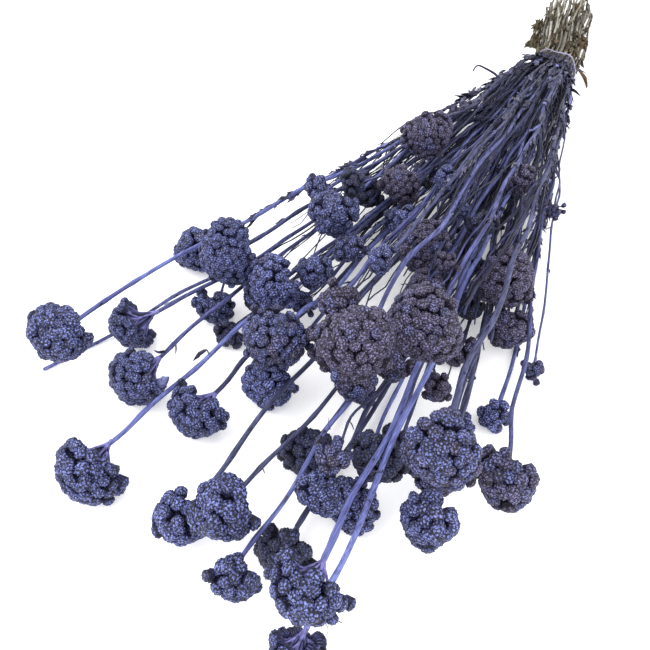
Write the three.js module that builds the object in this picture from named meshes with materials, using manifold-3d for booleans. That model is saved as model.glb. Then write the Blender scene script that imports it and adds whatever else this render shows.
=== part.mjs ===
// A bunch of dried golden ageratum, dyed violet: button-headed stalks held by one narrow band.
// Millimetres, +Z up. The bunch lies on the plane z = 0. +X runs from the band to the flower ends.
import * as THREE from 'three';
import Module from 'manifold-3d';

const wasm = await Module();
wasm.setup();

// Stalks
const BUTT_LENGTH = 148;     // from the band to the cut ends
const BUTT_STAGGER = 12;     // how much the cut ends differ
const GRIP = 8;              // half of the straight stretch through the band
const STALK_AT_BAND = 3.8;   // side of the woody lower stalk
const STALK_IN_FAN = 2.2;    // side of the stalk in the fan, before its head's share
const STALK_BY_HEAD = 0.03;  // more side for a wider head, of the head's width
const TAPER_LENGTH = 220;
const SHOOT = 1.9;           // side of a side shoot
const BARE_SHOOT = 2.2;      // side of a side shoot that has lost its head
const STATION_PITCH = 52;    // spacing of a stalk's stations along X
const CLEAR = 0.7;           // room between two stalks

// The bundle's section at the band
const SLOT_ACROSS = 4.75;
const SLOT_UP = 4.15;
const BUNDLE_FLATNESS = 1.45;   // width over height
const MOST_ROWS = 8;         // each side of the middle

// Band
const BAND_WIDTH = 3;
const BAND_THICK = 1;
const BAND_BEVEL = 0.3;
const BAND_PLAY = 0.3;

// Flower heads
const BUTTON_PITCH = 8;
const BUTTON_RISE = 2.8;
const VALLEY_DROP = 0.4;
const CAP_ANGLE = THREE.MathUtils.degToRad(90);   // from the top of the round cap to its rim
const CAP_BACK = 0.08;       // from the head's middle back to the middle of its cap's sphere, of its width
const HEAD_DEPTH = 0.44;     // from the head's middle back to the end of the stalk, of its width
const SMALL_PITCH = 0.36;    // button pitch in a small cluster, of its width

// Leaf scraps
const LEAF_THICK = 0.8;
const LEAF_WIDTH = 8;
const LEAF_LENGTH = 34;

// The viewpoint from which the heads' places were taken, over the plane that the bunch lies on.
// A head's place is the pixel of its middle in a square picture, and its lift above the plane.
const EYE = new THREE.Vector3(672, 109, 345);
const EYE_PITCH = THREE.MathUtils.degToRad(49);
const EYE_TURN = THREE.MathUtils.degToRad(240.6);
const PICTURE_MIDDLE = 325;
const FOCAL_LENGTH = 650;    // in pixels

// seenX, seenY: pixel of the head's middle. wide, lift: millimetres.
// face: 0 where the head looks along its stalk, 1 where it looks at the viewpoint.
// via: pixels and lifts that the stalk passes, from the band outwards.
const STALKS = [
  { seenX: 60, seenY: 334, wide: 40, lift: 20, face: 0.1,
    via: [[330, 180, 32], [228, 230, 30], [147, 270, 30], [99, 297, 28]] },
  { seenX: 129, seenY: 322, wide: 37, lift: 24, face: 0.1, via: [[219, 282, 28], [185, 303, 28]] },
  { seenX: 139, seenY: 379, wide: 41, lift: 18, face: 0.3, via: [[199, 314, 26], [172, 345, 24]] },
  { seenX: 196, seenY: 411, wide: 38, lift: 22, face: 0.3, via: [[250, 362, 30]] },
  { seenX: 197, seenY: 251, wide: 37, lift: 26, face: 0.1 },
  { seenX: 91, seenY: 473, wide: 42, lift: 18, face: 0.1,
    via: [[224, 330, 30], [193, 370, 28], [155, 402, 26], [122, 429, 24]] },
  { seenX: 177, seenY: 517, wide: 33, lift: 18, face: 0.3,
    via: [[308, 356, 32], [269, 410, 30], [240, 444, 26], [212, 478, 22]] },
  { seenX: 230, seenY: 516, wide: 36, lift: 26, face: 0.2,
    via: [[340, 392, 34], [310, 433, 30], [264, 480, 27]] },
  { seenX: 239, seenY: 579, wide: 27, lift: 16, face: 0.2,
    via: [[360, 395, 40], [333, 433, 34], [304, 479, 28], [258, 535, 20]] },
  { seenX: 297, seenY: 559, wide: 34, lift: 15, face: 0.1 },
  { seenX: 303, seenY: 588, wide: 35, lift: 40, face: 0.1 },
  { seenX: 300, seenY: 652, wide: 28, lift: 30, face: 0,
    via: [[406, 438, 70], [378, 501, 58], [343, 580, 52]] },
  { seenX: 319, seenY: 460, wide: 32, lift: 28, face: 0.5 },
  { seenX: 339, seenY: 500, wide: 29, lift: 28, face: 0.4 },
  { seenX: 358, seenY: 510, wide: 34, lift: 17, face: 0.4 },
  { seenX: 375, seenY: 458, wide: 31, lift: 30, face: 0.3 },
  { seenX: 431, seenY: 521, wide: 33, lift: 17, face: 0.2 },
  { seenX: 436, seenY: 453, wide: 37, lift: 34, face: 0.4 },
  { seenX: 501, seenY: 481, wide: 35, lift: 24, face: 0.1,
    via: [[533, 255, 30], [521, 350, 28], [516, 435, 27]] },
  { seenX: 509, seenY: 328, wide: 30, lift: 26, face: 0.5 },
  { seenX: 502, seenY: 282, wide: 39, lift: 34, face: 0.5 },
  { seenX: 421, seenY: 328, wide: 41, lift: 72, face: 0.8 },
  { seenX: 396, seenY: 362, wide: 27, lift: 56, face: 0.5 },
  { seenX: 399, seenY: 185, wide: 30, lift: 60, face: 0.4 },
  { seenX: 448, seenY: 182, wide: 22, lift: 52, face: 0.3 },
  { seenX: 428, seenY: 137, wide: 38, lift: 50, face: 0.4 },
  { seenX: 368, seenY: 192, wide: 29, lift: 42, face: 0.3 },
  { seenX: 417, seenY: 247, wide: 35, lift: 70, face: 0.7 },
  { seenX: 424, seenY: 292, wide: 30, lift: 50, face: 0.3 },
  { seenX: 236, seenY: 260, wide: 45, lift: 42, face: 0.3 },
  { seenX: 279, seenY: 290, wide: 37, lift: 48, face: 0.4 },
  { seenX: 305, seenY: 267, wide: 26, lift: 52, face: 0.4 },
  { seenX: 337, seenY: 218, wide: 35, lift: 52, face: 0.4 },
  { seenX: 273, seenY: 341, wide: 39, lift: 54, face: 0.7 },
  { seenX: 228, seenY: 332, wide: 23, lift: 28, face: 0.3 },
  { seenX: 271, seenY: 384, wide: 37, lift: 34, face: 0.3 },
  { seenX: 321, seenY: 338, wide: 29, lift: 56, face: 0.6 },
  { seenX: 345, seenY: 305, wide: 26, lift: 62, face: 0.5 },
  { seenX: 360, seenY: 345, wide: 37, lift: 74, face: 0.9 },
  { seenX: 357, seenY: 381, wide: 28, lift: 54, face: 0.5 },
  { seenX: 489, seenY: 413, wide: 23, lift: 13, face: 0.2 },
  { seenX: 437, seenY: 412, wide: 22, lift: 34, face: 0.4 },
  { seenX: 380, seenY: 262, wide: 18, lift: 66, face: 0.4 },
  { seenX: 323, seenY: 192, wide: 27, lift: 40, face: 0.2 },
  { seenX: 303, seenY: 300, wide: 21, lift: 34, face: 0.3 },
  { seenX: 362, seenY: 392, wide: 20, lift: 28, face: 0.3 },
  { seenX: 408, seenY: 444, wide: 22, lift: 14, face: 0.2 },
  { seenX: 258, seenY: 298, wide: 22, lift: 26, face: 0.3 },
  { seenX: 455, seenY: 348, wide: 24, lift: 26, face: 0.4 },
  { seenX: 402, seenY: 222, wide: 26, lift: 40, face: 0.4 },
  { seenX: 350, seenY: 250, wide: 24, lift: 36, face: 0.4 },
  { seenX: 458, seenY: 300, wide: 24, lift: 30, face: 0.4 },
  { seenX: 470, seenY: 262, wide: 22, lift: 30, face: 0.4 },
];

// Small clusters on side shoots. stalk: index of the stalk that bears it. leaves: X of its root.
// bare: the shoot has lost its head, and its place is that of its broken end.
const SHOOTS = [
  { stalk: 1, leaves: 400, seenX: 217, seenY: 308, wide: 29, lift: 26, face: 0.3 },
  { stalk: 13, leaves: 455, seenX: 343, seenY: 460, wide: 22, lift: 42, face: 0.2 },
  { stalk: 17, leaves: 420, seenX: 435, seenY: 479, wide: 25, lift: 24, face: 0.2 },
  { stalk: 22, leaves: 380, seenX: 438, seenY: 388, wide: 19, lift: 50, face: 0.3 },
  { stalk: 27, leaves: 320, seenX: 446, seenY: 262, wide: 16, lift: 66, face: 0.3 },
  { stalk: 26, leaves: 250, seenX: 354, seenY: 187, wide: 20, lift: 46, face: 0.3 },
  { stalk: 20, leaves: 170, seenX: 520, seenY: 182, wide: 24, lift: 38, face: 0.5 },
  { stalk: 52, leaves: 250, seenX: 478, seenY: 228, wide: 22, lift: 46, face: 0.5 },
  { stalk: 24, leaves: 215, seenX: 463, seenY: 213, wide: 13, lift: 56, face: 0.5 },
  { stalk: 18, leaves: 175, seenX: 552, seenY: 212, wide: 14, lift: 24, face: 0.2 },
  { stalk: 18, leaves: 90, seenX: 532, seenY: 368, wide: 16, lift: 14, face: 0.2,
    via: [[556, 172, 20], [549, 262, 18]] },
  { stalk: 1, leaves: 390, seenX: 54, seenY: 375, wide: 0, lift: 12, face: 0, bare: true },
];

// One seeded sequence of draws for the whole bunch
let seed = 20251;
function draw() {
  seed = (seed * 16807) % 2147483647;
  return seed / 2147483647;
}
function drawBetween(low, high) {
  return low + (high - low) * draw();
}

// The point at a given lift that the viewpoint sees at a pixel
function seenPoint(pixelX, pixelY, lift) {
  const across = (pixelX - PICTURE_MIDDLE) / FOCAL_LENGTH;
  const down = (pixelY - PICTURE_MIDDLE) / FOCAL_LENGTH;
  const depth = (EYE.z - lift) / (Math.sin(EYE_PITCH) + down * Math.cos(EYE_PITCH));
  const ahead = depth * (Math.cos(EYE_PITCH) - down * Math.sin(EYE_PITCH));
  const aside = depth * across;
  return new THREE.Vector3(
    EYE.x + aside * Math.cos(EYE_TURN) + ahead * Math.sin(EYE_TURN),
    EYE.y - aside * Math.sin(EYE_TURN) + ahead * Math.cos(EYE_TURN),
    lift,
  );
}

// Places of the stalks in the band: rows like bricks, nearest the middle first
function bundleSlots(count) {
  const slots = [];
  for (let row = -MOST_ROWS; row <= MOST_ROWS; row += 1) {
    for (let place = -MOST_ROWS; place <= MOST_ROWS; place += 1) {
      const y = (place + (row % 2 === 0 ? 0 : 0.5)) * SLOT_ACROSS;
      const z = row * SLOT_UP;
      slots.push({ y, z, reach: Math.hypot(y / BUNDLE_FLATNESS, z) });
    }
  }
  slots.sort((a, b) => a.reach - b.reach || a.z - b.z || a.y - b.y);
  return slots.slice(0, count);
}

const slots = bundleSlots(STALKS.length);
const lowestSlot = Math.min(...slots.map((slot) => slot.z));
const BAND_HEIGHT = BAND_THICK + BAND_PLAY + STALK_AT_BAND / 2 - lowestSlot;   // middle of the bundle

// Each stalk gets the slot that lies the same way as its head, so that no two stalks cross
const MATCH_REACH = 160;     // X at which the heads' directions are compared
const LIFT_WEIGHT = 2;
function matchSlots() {
  const aims = STALKS.map((stalk) => {
    const head = seenPoint(stalk.seenX, stalk.seenY, stalk.lift);
    const share = MATCH_REACH / head.x;
    return { y: head.y * share, z: (head.z - BAND_HEIGHT) * share * LIFT_WEIGHT };
  });
  const chosen = slots.map((slot, index) => index);
  const cost = (stalk, slot) => {
    const y = aims[stalk].y - slots[slot].y;
    const z = aims[stalk].z - slots[slot].z;
    return y * y + z * z;
  };
  let better = true;
  while (better) {
    better = false;
    for (let a = 0; a < chosen.length; a += 1) {
      for (let b = a + 1; b < chosen.length; b += 1) {
        const now = cost(a, chosen[a]) + cost(b, chosen[b]);
        const swapped = cost(a, chosen[b]) + cost(b, chosen[a]);
        if (swapped < now - 1e-6) {
          [chosen[a], chosen[b]] = [chosen[b], chosen[a]];
          better = true;
        }
      }
    }
  }
  return chosen.map((index) => slots[index]);
}
const stalkSlots = matchSlots();

function stalkSide(x, wide) {
  const share = THREE.MathUtils.clamp((Math.abs(x) - GRIP) / TAPER_LENGTH, 0, 1);
  const inFan = STALK_IN_FAN + STALK_BY_HEAD * wide;
  return STALK_AT_BAND + (inFan - STALK_AT_BAND) * share;
}

// Where a value of a chain of stations lies: the station before it and the share of the way on
function locate(stations, x) {
  let index = 0;
  while (index < stations.length - 2 && stations[index + 1] < x) {
    index += 1;
  }
  return { index, share: (x - stations[index]) / (stations[index + 1] - stations[index]) };
}

function along(values, place) {
  return values[place.index] * (1 - place.share) + values[place.index + 1] * place.share;
}

// A smooth way from one point to another as Y or Z over X, straight at first and turning near its end
const TURN_LENGTH = 90;
function wayTo(x, fromX, from, toX, to, endSlope) {
  const slope = (to - from) / (toX - fromX);
  const turnX = Math.max(fromX, toX - TURN_LENGTH);
  if (x <= turnX) {
    return from + slope * (x - fromX);
  }
  const span = toX - turnX;
  const t = (x - turnX) / span;
  const start = from + slope * (turnX - fromX);
  const a = 2 * t ** 3 - 3 * t ** 2 + 1;
  const b = (t ** 3 - 2 * t ** 2 + t) * span;
  const c = 3 * t ** 2 - 2 * t ** 3;
  const d = (t ** 3 - t ** 2) * span;
  return a * start + b * slope + c * to + d * endSlope;
}

const STEEPEST = 1.1;        // slope of a stalk's end, Y or Z over X
function endSlopes(aim) {
  return {
    y: THREE.MathUtils.clamp(aim.y / aim.x, -STEEPEST, STEEPEST),
    z: THREE.MathUtils.clamp(aim.z / aim.x, -STEEPEST, STEEPEST),
  };
}

// Which way a head looks: between the way its stalk comes and the viewpoint
function headAim(spec, centre, from) {
  const onward = centre.clone().sub(from).normalize();
  const toEye = EYE.clone().sub(centre).normalize();
  return onward.multiplyScalar(1 - spec.face).addScaledVector(toEye, spec.face).normalize();
}

function makeChain(spec, node) {
  const wobble = [drawBetween(-1, 1), drawBetween(-1, 1)];
  return { spec, node, lift: spec.lift, wobble, bow: spec.via ? 0 : drawBetween(-1, 1) * BOW };
}

const BOW = 7;               // how far a stalk bends sideways in its middle
const BUTT_FLARE = [1.22, 1.1, 1];   // how the cut ends spread, from the cut to the band
const BUTT_BEND = 0.17;      // sideways slope of the cut ends, Y over X: the bunch bends at its band
const SHOOT_ROOT = 5;        // how far a shoot is sunk into its stalk
const WOBBLE = 0.12;         // how far a head's aim strays
const VIA_ROOM = 30;         // a point that the stalk passes stays this far short of its end
const chains = STALKS.map((spec, index) => makeChain(spec, index));
const shootChains = SHOOTS.map((spec) => makeChain(spec, spec.stalk));
chains.push(...shootChains);

// Lays a chain's stations on its own way to the head's place at its present lift
function layChain(chain, index) {
  const { spec } = chain;
  const centre = seenPoint(spec.seenX, spec.seenY, chain.lift);
  const onShoot = index >= STALKS.length;
  let root;
  if (onShoot) {
    const bearer = chains[spec.stalk];
    const place = locate(bearer.x, spec.leaves);
    root = new THREE.Vector3(spec.leaves, along(bearer.y, place), along(bearer.z, place));
  } else {
    root = new THREE.Vector3(GRIP, stalkSlots[index].y, BAND_HEIGHT + stalkSlots[index].z);
  }
  const via = (spec.via ?? []).map(([pixelX, pixelY, lift]) => seenPoint(pixelX, pixelY, lift));
  const before = via.length ? via[via.length - 1] : root;
  chain.aim = headAim(spec, centre, before);
  chain.aim.y += WOBBLE * chain.wobble[0];
  chain.aim.z += WOBBLE * chain.wobble[1];
  chain.aim.normalize();
  const tip = centre.clone().addScaledVector(chain.aim, -HEAD_DEPTH * spec.wide);
  const slopes = endSlopes(chain.aim);
  const reach = tip.x - root.x;
  const steps = Math.max(2, Math.round(reach / STATION_PITCH));
  const stations = [];
  if (onShoot) {
    stations.push(root.x - SHOOT_ROOT);
  } else {
    const butt = -BUTT_LENGTH - BUTT_STAGGER * chain.wobble[0] / 2;
    stations.push(butt, butt / 2, -GRIP);   // one for each share of BUTT_FLARE
  }
  for (let step = 0; step <= steps; step += 1) {
    stations.push(root.x + reach * step / steps);
  }
  chain.x = stations;
  chain.pinned = onShoot ? 2 : 4;
  const stops = [root, ...via.filter((stop) => stop.x < tip.x - VIA_ROOM), tip];
  const read = (x, axis) => {
    let leg = 0;
    while (leg < stops.length - 2 && stops[leg + 1].x < x) {
      leg += 1;
    }
    const from = stops[leg];
    const to = stops[leg + 1];
    const lastLeg = leg === stops.length - 2;
    const endSlope = lastLeg ? slopes[axis] : (to[axis] - from[axis]) / (to.x - from.x);
    return wayTo(x, from.x, from[axis], to.x, to[axis], endSlope);
  };
  const bowAt = (x) => chain.bow * Math.sin(Math.PI * (x - root.x) / reach);
  chain.baseY = stations.map((x) => (x < root.x ? root.y : read(x, 'y') + bowAt(x)));
  chain.baseZ = stations.map((x) => (x < root.x ? root.z : read(x, 'z')));
  if (!onShoot) {
    BUTT_FLARE.forEach((share, station) => {
      chain.baseY[station] = stalkSlots[index].y * share + BUTT_BEND * (stations[station] + GRIP);
      chain.baseZ[station] = BAND_HEIGHT + stalkSlots[index].z * share;
    });
  }
  for (let pass = 0; pass < 2 && spec.via; pass += 1) {
    smoothWithin(chain.baseY, chain.pinned);
    smoothWithin(chain.baseZ, chain.pinned);
  }
  chain.y = [...chain.baseY];
  chain.z = [...chain.baseZ];
  const shootSide = spec.bare ? BARE_SHOOT : SHOOT;
  chain.side = stations.map((x) => (onShoot ? shootSide : stalkSide(x, spec.wide)));
  chain.balls = spec.bare ? [] : headBalls(chain);
}

function smoothWithin(values, pinned) {
  const before = [...values];
  for (let k = pinned; k < values.length - 1; k += 1) {
    values[k] = before[k] / 2 + (before[k - 1] + before[k + 1]) / 4;
  }
}

// The head's own frame: two directions across it, and the way it looks
function headFrame(chain) {
  const across = new THREE.Vector3(0, 0, 1).cross(chain.aim).normalize();
  const up = chain.aim.clone().cross(across);
  return { across, up, aim: chain.aim };
}

// A head's room as two balls, placed from the end of its stalk: its dome and its underside, in
// shares of its width
const HEAD_BALLS = [{ level: -0.06, radius: 0.46 }, { level: -0.28, radius: 0.22 }];
function headBalls(chain) {
  const wide = chain.spec.wide;
  return HEAD_BALLS.map((ball) => ({
    offset: chain.aim.clone().multiplyScalar((HEAD_DEPTH + ball.level) * wide),
    radius: ball.radius * wide,
  }));
}

// Moves heads along their lines of sight until they clear each other, so that each keeps its pixel
const SETTLING_ROUNDS = 60;
const SETTLING_SHARE = 0.4;
const LEAST_LIFT = 0.44;     // of a head's middle above the plane, of its width
const MOST_LIFT = 84;
function settleLifts() {
  for (let round = 0; round < SETTLING_ROUNDS; round += 1) {
    const heads = chains.map(({ spec, lift }) => seenPoint(spec.seenX, spec.seenY, lift));
    const steps = chains.map(() => 0);
    for (let a = 0; a < chains.length; a += 1) {
      for (let b = a + 1; b < chains.length; b += 1) {
        const between = heads[b].clone().sub(heads[a]);
        const room = (chains[a].spec.wide + chains[b].spec.wide) / 2 + CLEAR;
        if (between.length() >= room) {
          continue;
        }
        const sight = heads[a].clone().sub(EYE).normalize();
        const deeper = between.dot(sight);
        const aside = between.lengthSq() - deeper * deeper;
        const missing = Math.sqrt(room * room - aside) - Math.abs(deeper);
        const step = Math.sign(deeper || 1) * missing * SETTLING_SHARE * -sight.z;
        steps[a] += step;
        steps[b] -= step;
      }
    }
    chains.forEach((chain, index) => {
      const least = chain.spec.wide * LEAST_LIFT;
      chain.lift = THREE.MathUtils.clamp(chain.lift + steps[index], least, Math.max(MOST_LIFT, least));
    });
  }
}

// A shoot and the stalk that bears it may touch up to here from where they part
const PARTING = 50;
function mayTouch(first, second, x) {
  const shoot = [first, second].find((chain) => chain.spec.leaves !== undefined);
  return first.node === second.node && (!shoot || x < shoot.spec.leaves + PARTING);
}

// Moves stations apart in their planes of constant X until stalks and heads clear each other
const PLANE_PITCH = 5;
const HEAD_REACH = 0.8;      // heads further apart than this share of their widths never meet
const CORNER_SHARE = 0.75;   // from a stalk's middle to its corner, of its side
const STALK_YIELD = 0.7;    // where a stalk meets a head, the stalk's share of the move
const TILT_ROOM = 1.06;      // stalks run aslant through their planes
const FLOOR_GIVE = 2.4;      // how far a head's room may press into the plane that it lies on
function relax(rounds, softness) {
  const farthest = Math.max(...chains.map((chain) => chain.x[chain.x.length - 1]));
  const planes = [];
  for (let x = GRIP + PLANE_PITCH; x < farthest; x += PLANE_PITCH) {
    planes.push(chains.map((chain, index) => ({ index, chain, x }))
      .filter(({ chain }) => x > chain.x[0] && x <= chain.x[chain.x.length - 1])
      .map(({ index, chain }) => ({ index, chain, x, place: locate(chain.x, x) })));
  }
  const balls = [];
  chains.forEach((chain, owner) => {
    const last = chain.x.length - 1;
    chain.balls.forEach((ball) => {
      const x = chain.x[last] + ball.offset.x;
      const passing = chains.map((other, index) => ({ index, other }))
        .filter(({ other }) => other !== chain && !mayTouch(chain, other, x))
        .filter(({ other }) => x > other.x[0] && x <= other.x[other.x.length - 1])
        .map(({ index, other }) => ({ index, place: locate(other.x, x) }));
      balls.push({ owner, x, ball, passing });
    });
  });
  for (let round = 0; round < rounds; round += 1) {
    const moves = chains.map((chain) => chain.x.map(() => ({ y: 0, z: 0, weight: 0 })));
    const push = (index, place, y, z) => {
      const first = moves[index][place.index];
      const second = moves[index][place.index + 1];
      first.y += y * (1 - place.share);
      first.z += z * (1 - place.share);
      first.weight += 1 - place.share;
      second.y += y * place.share;
      second.z += z * place.share;
      second.weight += place.share;
    };
    const pushEnd = (index, y, z) => {
      push(index, { index: chains[index].x.length - 2, share: 1 }, y, z);
    };
    planes.forEach((plane) => {
      for (let a = 0; a < plane.length; a += 1) {
        for (let b = a + 1; b < plane.length; b += 1) {
          const first = plane[a];
          const second = plane[b];
          if (mayTouch(first.chain, second.chain, first.x)) {
            continue;
          }
          const y = along(second.chain.y, second.place) - along(first.chain.y, first.place);
          const z = along(second.chain.z, second.place) - along(first.chain.z, first.place);
          const sides = along(first.chain.side, first.place) + along(second.chain.side, second.place);
          const overlap = sides / 2 + CLEAR - Math.max(Math.abs(y), Math.abs(z));
          if (overlap > 0) {
            const moveY = Math.abs(y) >= Math.abs(z) ? Math.sign(y) * overlap / 2 : 0;
            const moveZ = Math.abs(y) >= Math.abs(z) ? 0 : Math.sign(z) * overlap / 2;
            push(first.index, first.place, -moveY, -moveZ);
            push(second.index, second.place, moveY, moveZ);
          }
        }
      }
    });
    balls.forEach((one) => {
      const chain = chains[one.owner];
      const last = chain.x.length - 1;
      one.y = chain.y[last] + one.ball.offset.y;
      one.z = chain.z[last] + one.ball.offset.z;
      const sunk = one.ball.radius - FLOOR_GIVE - one.z;
      if (sunk > 0) {
        pushEnd(one.owner, 0, sunk);
      }
    });
    balls.forEach((one) => {
      one.passing.forEach(({ index, place }) => {
        const other = chains[index];
        const y = along(other.y, place) - one.y;
        const z = along(other.z, place) - one.z;
        const apart = Math.max(Math.hypot(y, z), 0.01);
        const room = (one.ball.radius + CORNER_SHARE * along(other.side, place) + CLEAR) * TILT_ROOM;
        const overlap = room - apart;
        if (overlap > 0) {
          const stalkMove = overlap * STALK_YIELD / apart;
          const headMove = overlap * (1 - STALK_YIELD) / apart;
          push(index, place, y * stalkMove, z * stalkMove);
          pushEnd(one.owner, -y * headMove, -z * headMove);
        }
      });
    });
    for (let a = 0; a < chains.length; a += 1) {
      for (let b = a + 1; b < chains.length; b += 1) {
        const first = chains[a];
        const second = chains[b];
        const firstEnd = first.x.length - 1;
        const secondEnd = second.x.length - 1;
        const reach = (first.spec.wide + second.spec.wide) * HEAD_REACH;
        const nearY = Math.abs(first.y[firstEnd] - second.y[secondEnd]) < reach;
        const nearX = Math.abs(first.x[firstEnd] - second.x[secondEnd]) < reach;
        if (!nearX || !nearY) {
          continue;
        }
        let deepest = 0;
        first.balls.forEach((one) => {
          second.balls.forEach((two) => {
            const x = second.x[secondEnd] + two.offset.x - first.x[firstEnd] - one.offset.x;
            const y = second.y[secondEnd] + two.offset.y - first.y[firstEnd] - one.offset.y;
            const z = second.z[secondEnd] + two.offset.z - first.z[firstEnd] - one.offset.z;
            const room = one.radius + two.radius + CLEAR;
            if (Math.abs(x) < room) {
              deepest = Math.max(deepest, Math.sqrt(room * room - x * x) - Math.hypot(y, z));
            }
          });
        });
        if (deepest > 0) {
          const y = second.y[secondEnd] - first.y[firstEnd] + (second.aim.y * second.spec.wide
            - first.aim.y * first.spec.wide) * HEAD_DEPTH;
          const z = second.z[secondEnd] - first.z[firstEnd] + (second.aim.z * second.spec.wide
            - first.aim.z * first.spec.wide) * HEAD_DEPTH;
          const apart = Math.max(Math.hypot(y, z), 0.01);
          pushEnd(a, -y / apart * deepest / 2, -z / apart * deepest / 2);
          pushEnd(b, y / apart * deepest / 2, z / apart * deepest / 2);
        }
      }
    }
    chains.forEach((chain, index) => {
      const last = chain.x.length - 1;
      for (let k = chain.pinned; k <= last; k += 1) {
        const move = moves[index][k];
        const share = 1 / Math.max(1, move.weight);
        chain.y[k] += move.y * share;
        chain.z[k] += move.z * share;
      }
      const strayY = chain.y.map((y, k) => y - chain.baseY[k]);
      const strayZ = chain.z.map((z, k) => z - chain.baseZ[k]);
      for (let k = chain.pinned; k <= last; k += 1) {
        const next = Math.min(k + 1, last);
        chain.y[k] += softness * ((strayY[k - 1] + strayY[next]) / 2 - strayY[k]);
        chain.z[k] += softness * ((strayZ[k - 1] + strayZ[next]) / 2 - strayZ[k]);
        chain.z[k] = Math.max(chain.z[k], chain.side[k] / 2);
      }
      if (index >= STALKS.length) {
        const bearer = chains[chain.spec.stalk];
        for (let k = 0; k < chain.pinned; k += 1) {
          const place = locate(bearer.x, chain.x[k]);
          chain.y[k] = along(bearer.y, place);
          chain.z[k] = along(bearer.z, place);
        }
      }
    });
  }
}

// The heads' lifts settle first, each time on fresh ways; then the stalks are cleared of each other
const LIFT_ROUNDS = 6;
const COARSE_ROUNDS = 80;
const COARSE_SOFTNESS = 0.2;
const FINE_ROUNDS = 200;
const FINE_SOFTNESS = 0.03;
const LAST_ROUNDS = 800;
settleLifts();
for (let round = 0; round < LIFT_ROUNDS; round += 1) {
  chains.forEach(layChain);
  relax(COARSE_ROUNDS, COARSE_SOFTNESS);
  chains.forEach((chain) => {
    const last = chain.x.length - 1;
    chain.lift = chain.z[last] + chain.aim.z * HEAD_DEPTH * chain.spec.wide;
  });
}
relax(FINE_ROUNDS, FINE_SOFTNESS);
relax(LAST_ROUNDS, 0);

// A closed surface gathered from vertices and triangles
class Surface {
  constructor() {
    this.points = [];
    this.triangles = [];
  }

  point(vector) {
    this.points.push(vector.x, vector.y, Math.max(vector.z, 0));
    return this.points.length / 3 - 1;
  }

  triangle(a, b, c) {
    this.triangles.push(a, b, c);
  }

  // Joins two rings of equally many points, the second ring onward of the first. The second half of
  // the ring is split the other way, so that the two faces of a thin blade bend alike.
  wall(first, second) {
    first.forEach((a, i) => {
      const next = (i + 1) % first.length;
      const b = first[next];
      if (i < first.length / 2) {
        this.triangle(a, b, second[next]);
        this.triangle(a, second[next], second[i]);
      } else {
        this.triangle(a, b, second[i]);
        this.triangle(b, second[next], second[i]);
      }
    });
  }

  // Closes a ring of four points, seen from the side that it looks to
  lid(ring) {
    this.triangle(ring[0], ring[1], ring[2]);
    this.triangle(ring[0], ring[2], ring[3]);
  }

  solid() {
    return new wasm.Manifold(new wasm.Mesh({
      numProp: 3,
      vertProperties: new Float32Array(this.points),
      triVerts: new Uint32Array(this.triangles),
    }));
  }
}

const CORNERS = [[-1, -1], [1, -1], [1, 1], [-1, 1]];
function stalkRing(surface, x, y, z, side) {
  return CORNERS.map(([across, up]) => surface.point(
    new THREE.Vector3(x, y + across * side / 2, z + up * side / 2),
  ));
}

const LATTICE_ROWS = 5;      // rows of buttons each side of a head's middle at most
const LATTICE_SHIFT = 0.3;   // how far the honeycomb lies off the head's middle, of its pitch
const OVAL = 0.07;           // how far the outline strays from round
const THREE_LOBED = 0.05;
const RIM_INSET = 0.4;       // the outermost buttons' middles lie this far inside the rim, of their pitch
const KEY_STEP = 0.05;       // corners closer than this are one corner
const TOP_UNEVEN = 0.15;     // how much the buttons' rise varies
const RIM_RISE = 0.8;        // how much of a button's rise adds to the head's width at the rim

// The cells of a head: a honeycomb of buttons within a slightly uneven round outline
function headCells(wide) {
  const pitch = Math.min(BUTTON_PITCH, wide * SMALL_PITCH);
  const rise = BUTTON_RISE * pitch / BUTTON_PITCH;
  const capRadius = (wide / 2 - RIM_RISE * rise) / Math.sin(CAP_ANGLE);
  const phase = drawBetween(0, Math.PI * 2);
  const shiftX = drawBetween(-LATTICE_SHIFT, LATTICE_SHIFT) * pitch;
  const shiftY = drawBetween(-LATTICE_SHIFT, LATTICE_SHIFT) * pitch;
  const corners = new Map();
  const cells = [];
  for (let row = -LATTICE_ROWS; row <= LATTICE_ROWS; row += 1) {
    for (let place = -2 * LATTICE_ROWS; place <= 2 * LATTICE_ROWS; place += 1) {
      const u = (place + row / 2) * pitch + shiftX;
      const v = row * Math.sqrt(3) / 2 * pitch + shiftY;
      const angle = Math.atan2(v, u);
      const uneven = 1 + OVAL * Math.sin(2 * angle + phase) + THREE_LOBED * Math.sin(3 * angle - phase);
      const outline = capRadius * CAP_ANGLE * uneven - RIM_INSET * pitch;
      if (Math.hypot(u, v) > outline && Math.hypot(u, v) > pitch / 2) {
        continue;
      }
      const ring = [];
      for (let corner = 0; corner < 6; corner += 1) {
        const turn = Math.PI / 6 + corner * Math.PI / 3;
        const cu = u + Math.cos(turn) * pitch / Math.sqrt(3);
        const cv = v + Math.sin(turn) * pitch / Math.sqrt(3);
        const key = `${(cu / KEY_STEP).toFixed(0)},${(cv / KEY_STEP).toFixed(0)}`;
        if (!corners.has(key)) {
          corners.set(key, { u: cu, v: cv });
        }
        ring.push(key);
      }
      cells.push({ u, v, ring });
    }
  }
  return { cells, corners, capRadius, rise };
}

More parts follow.
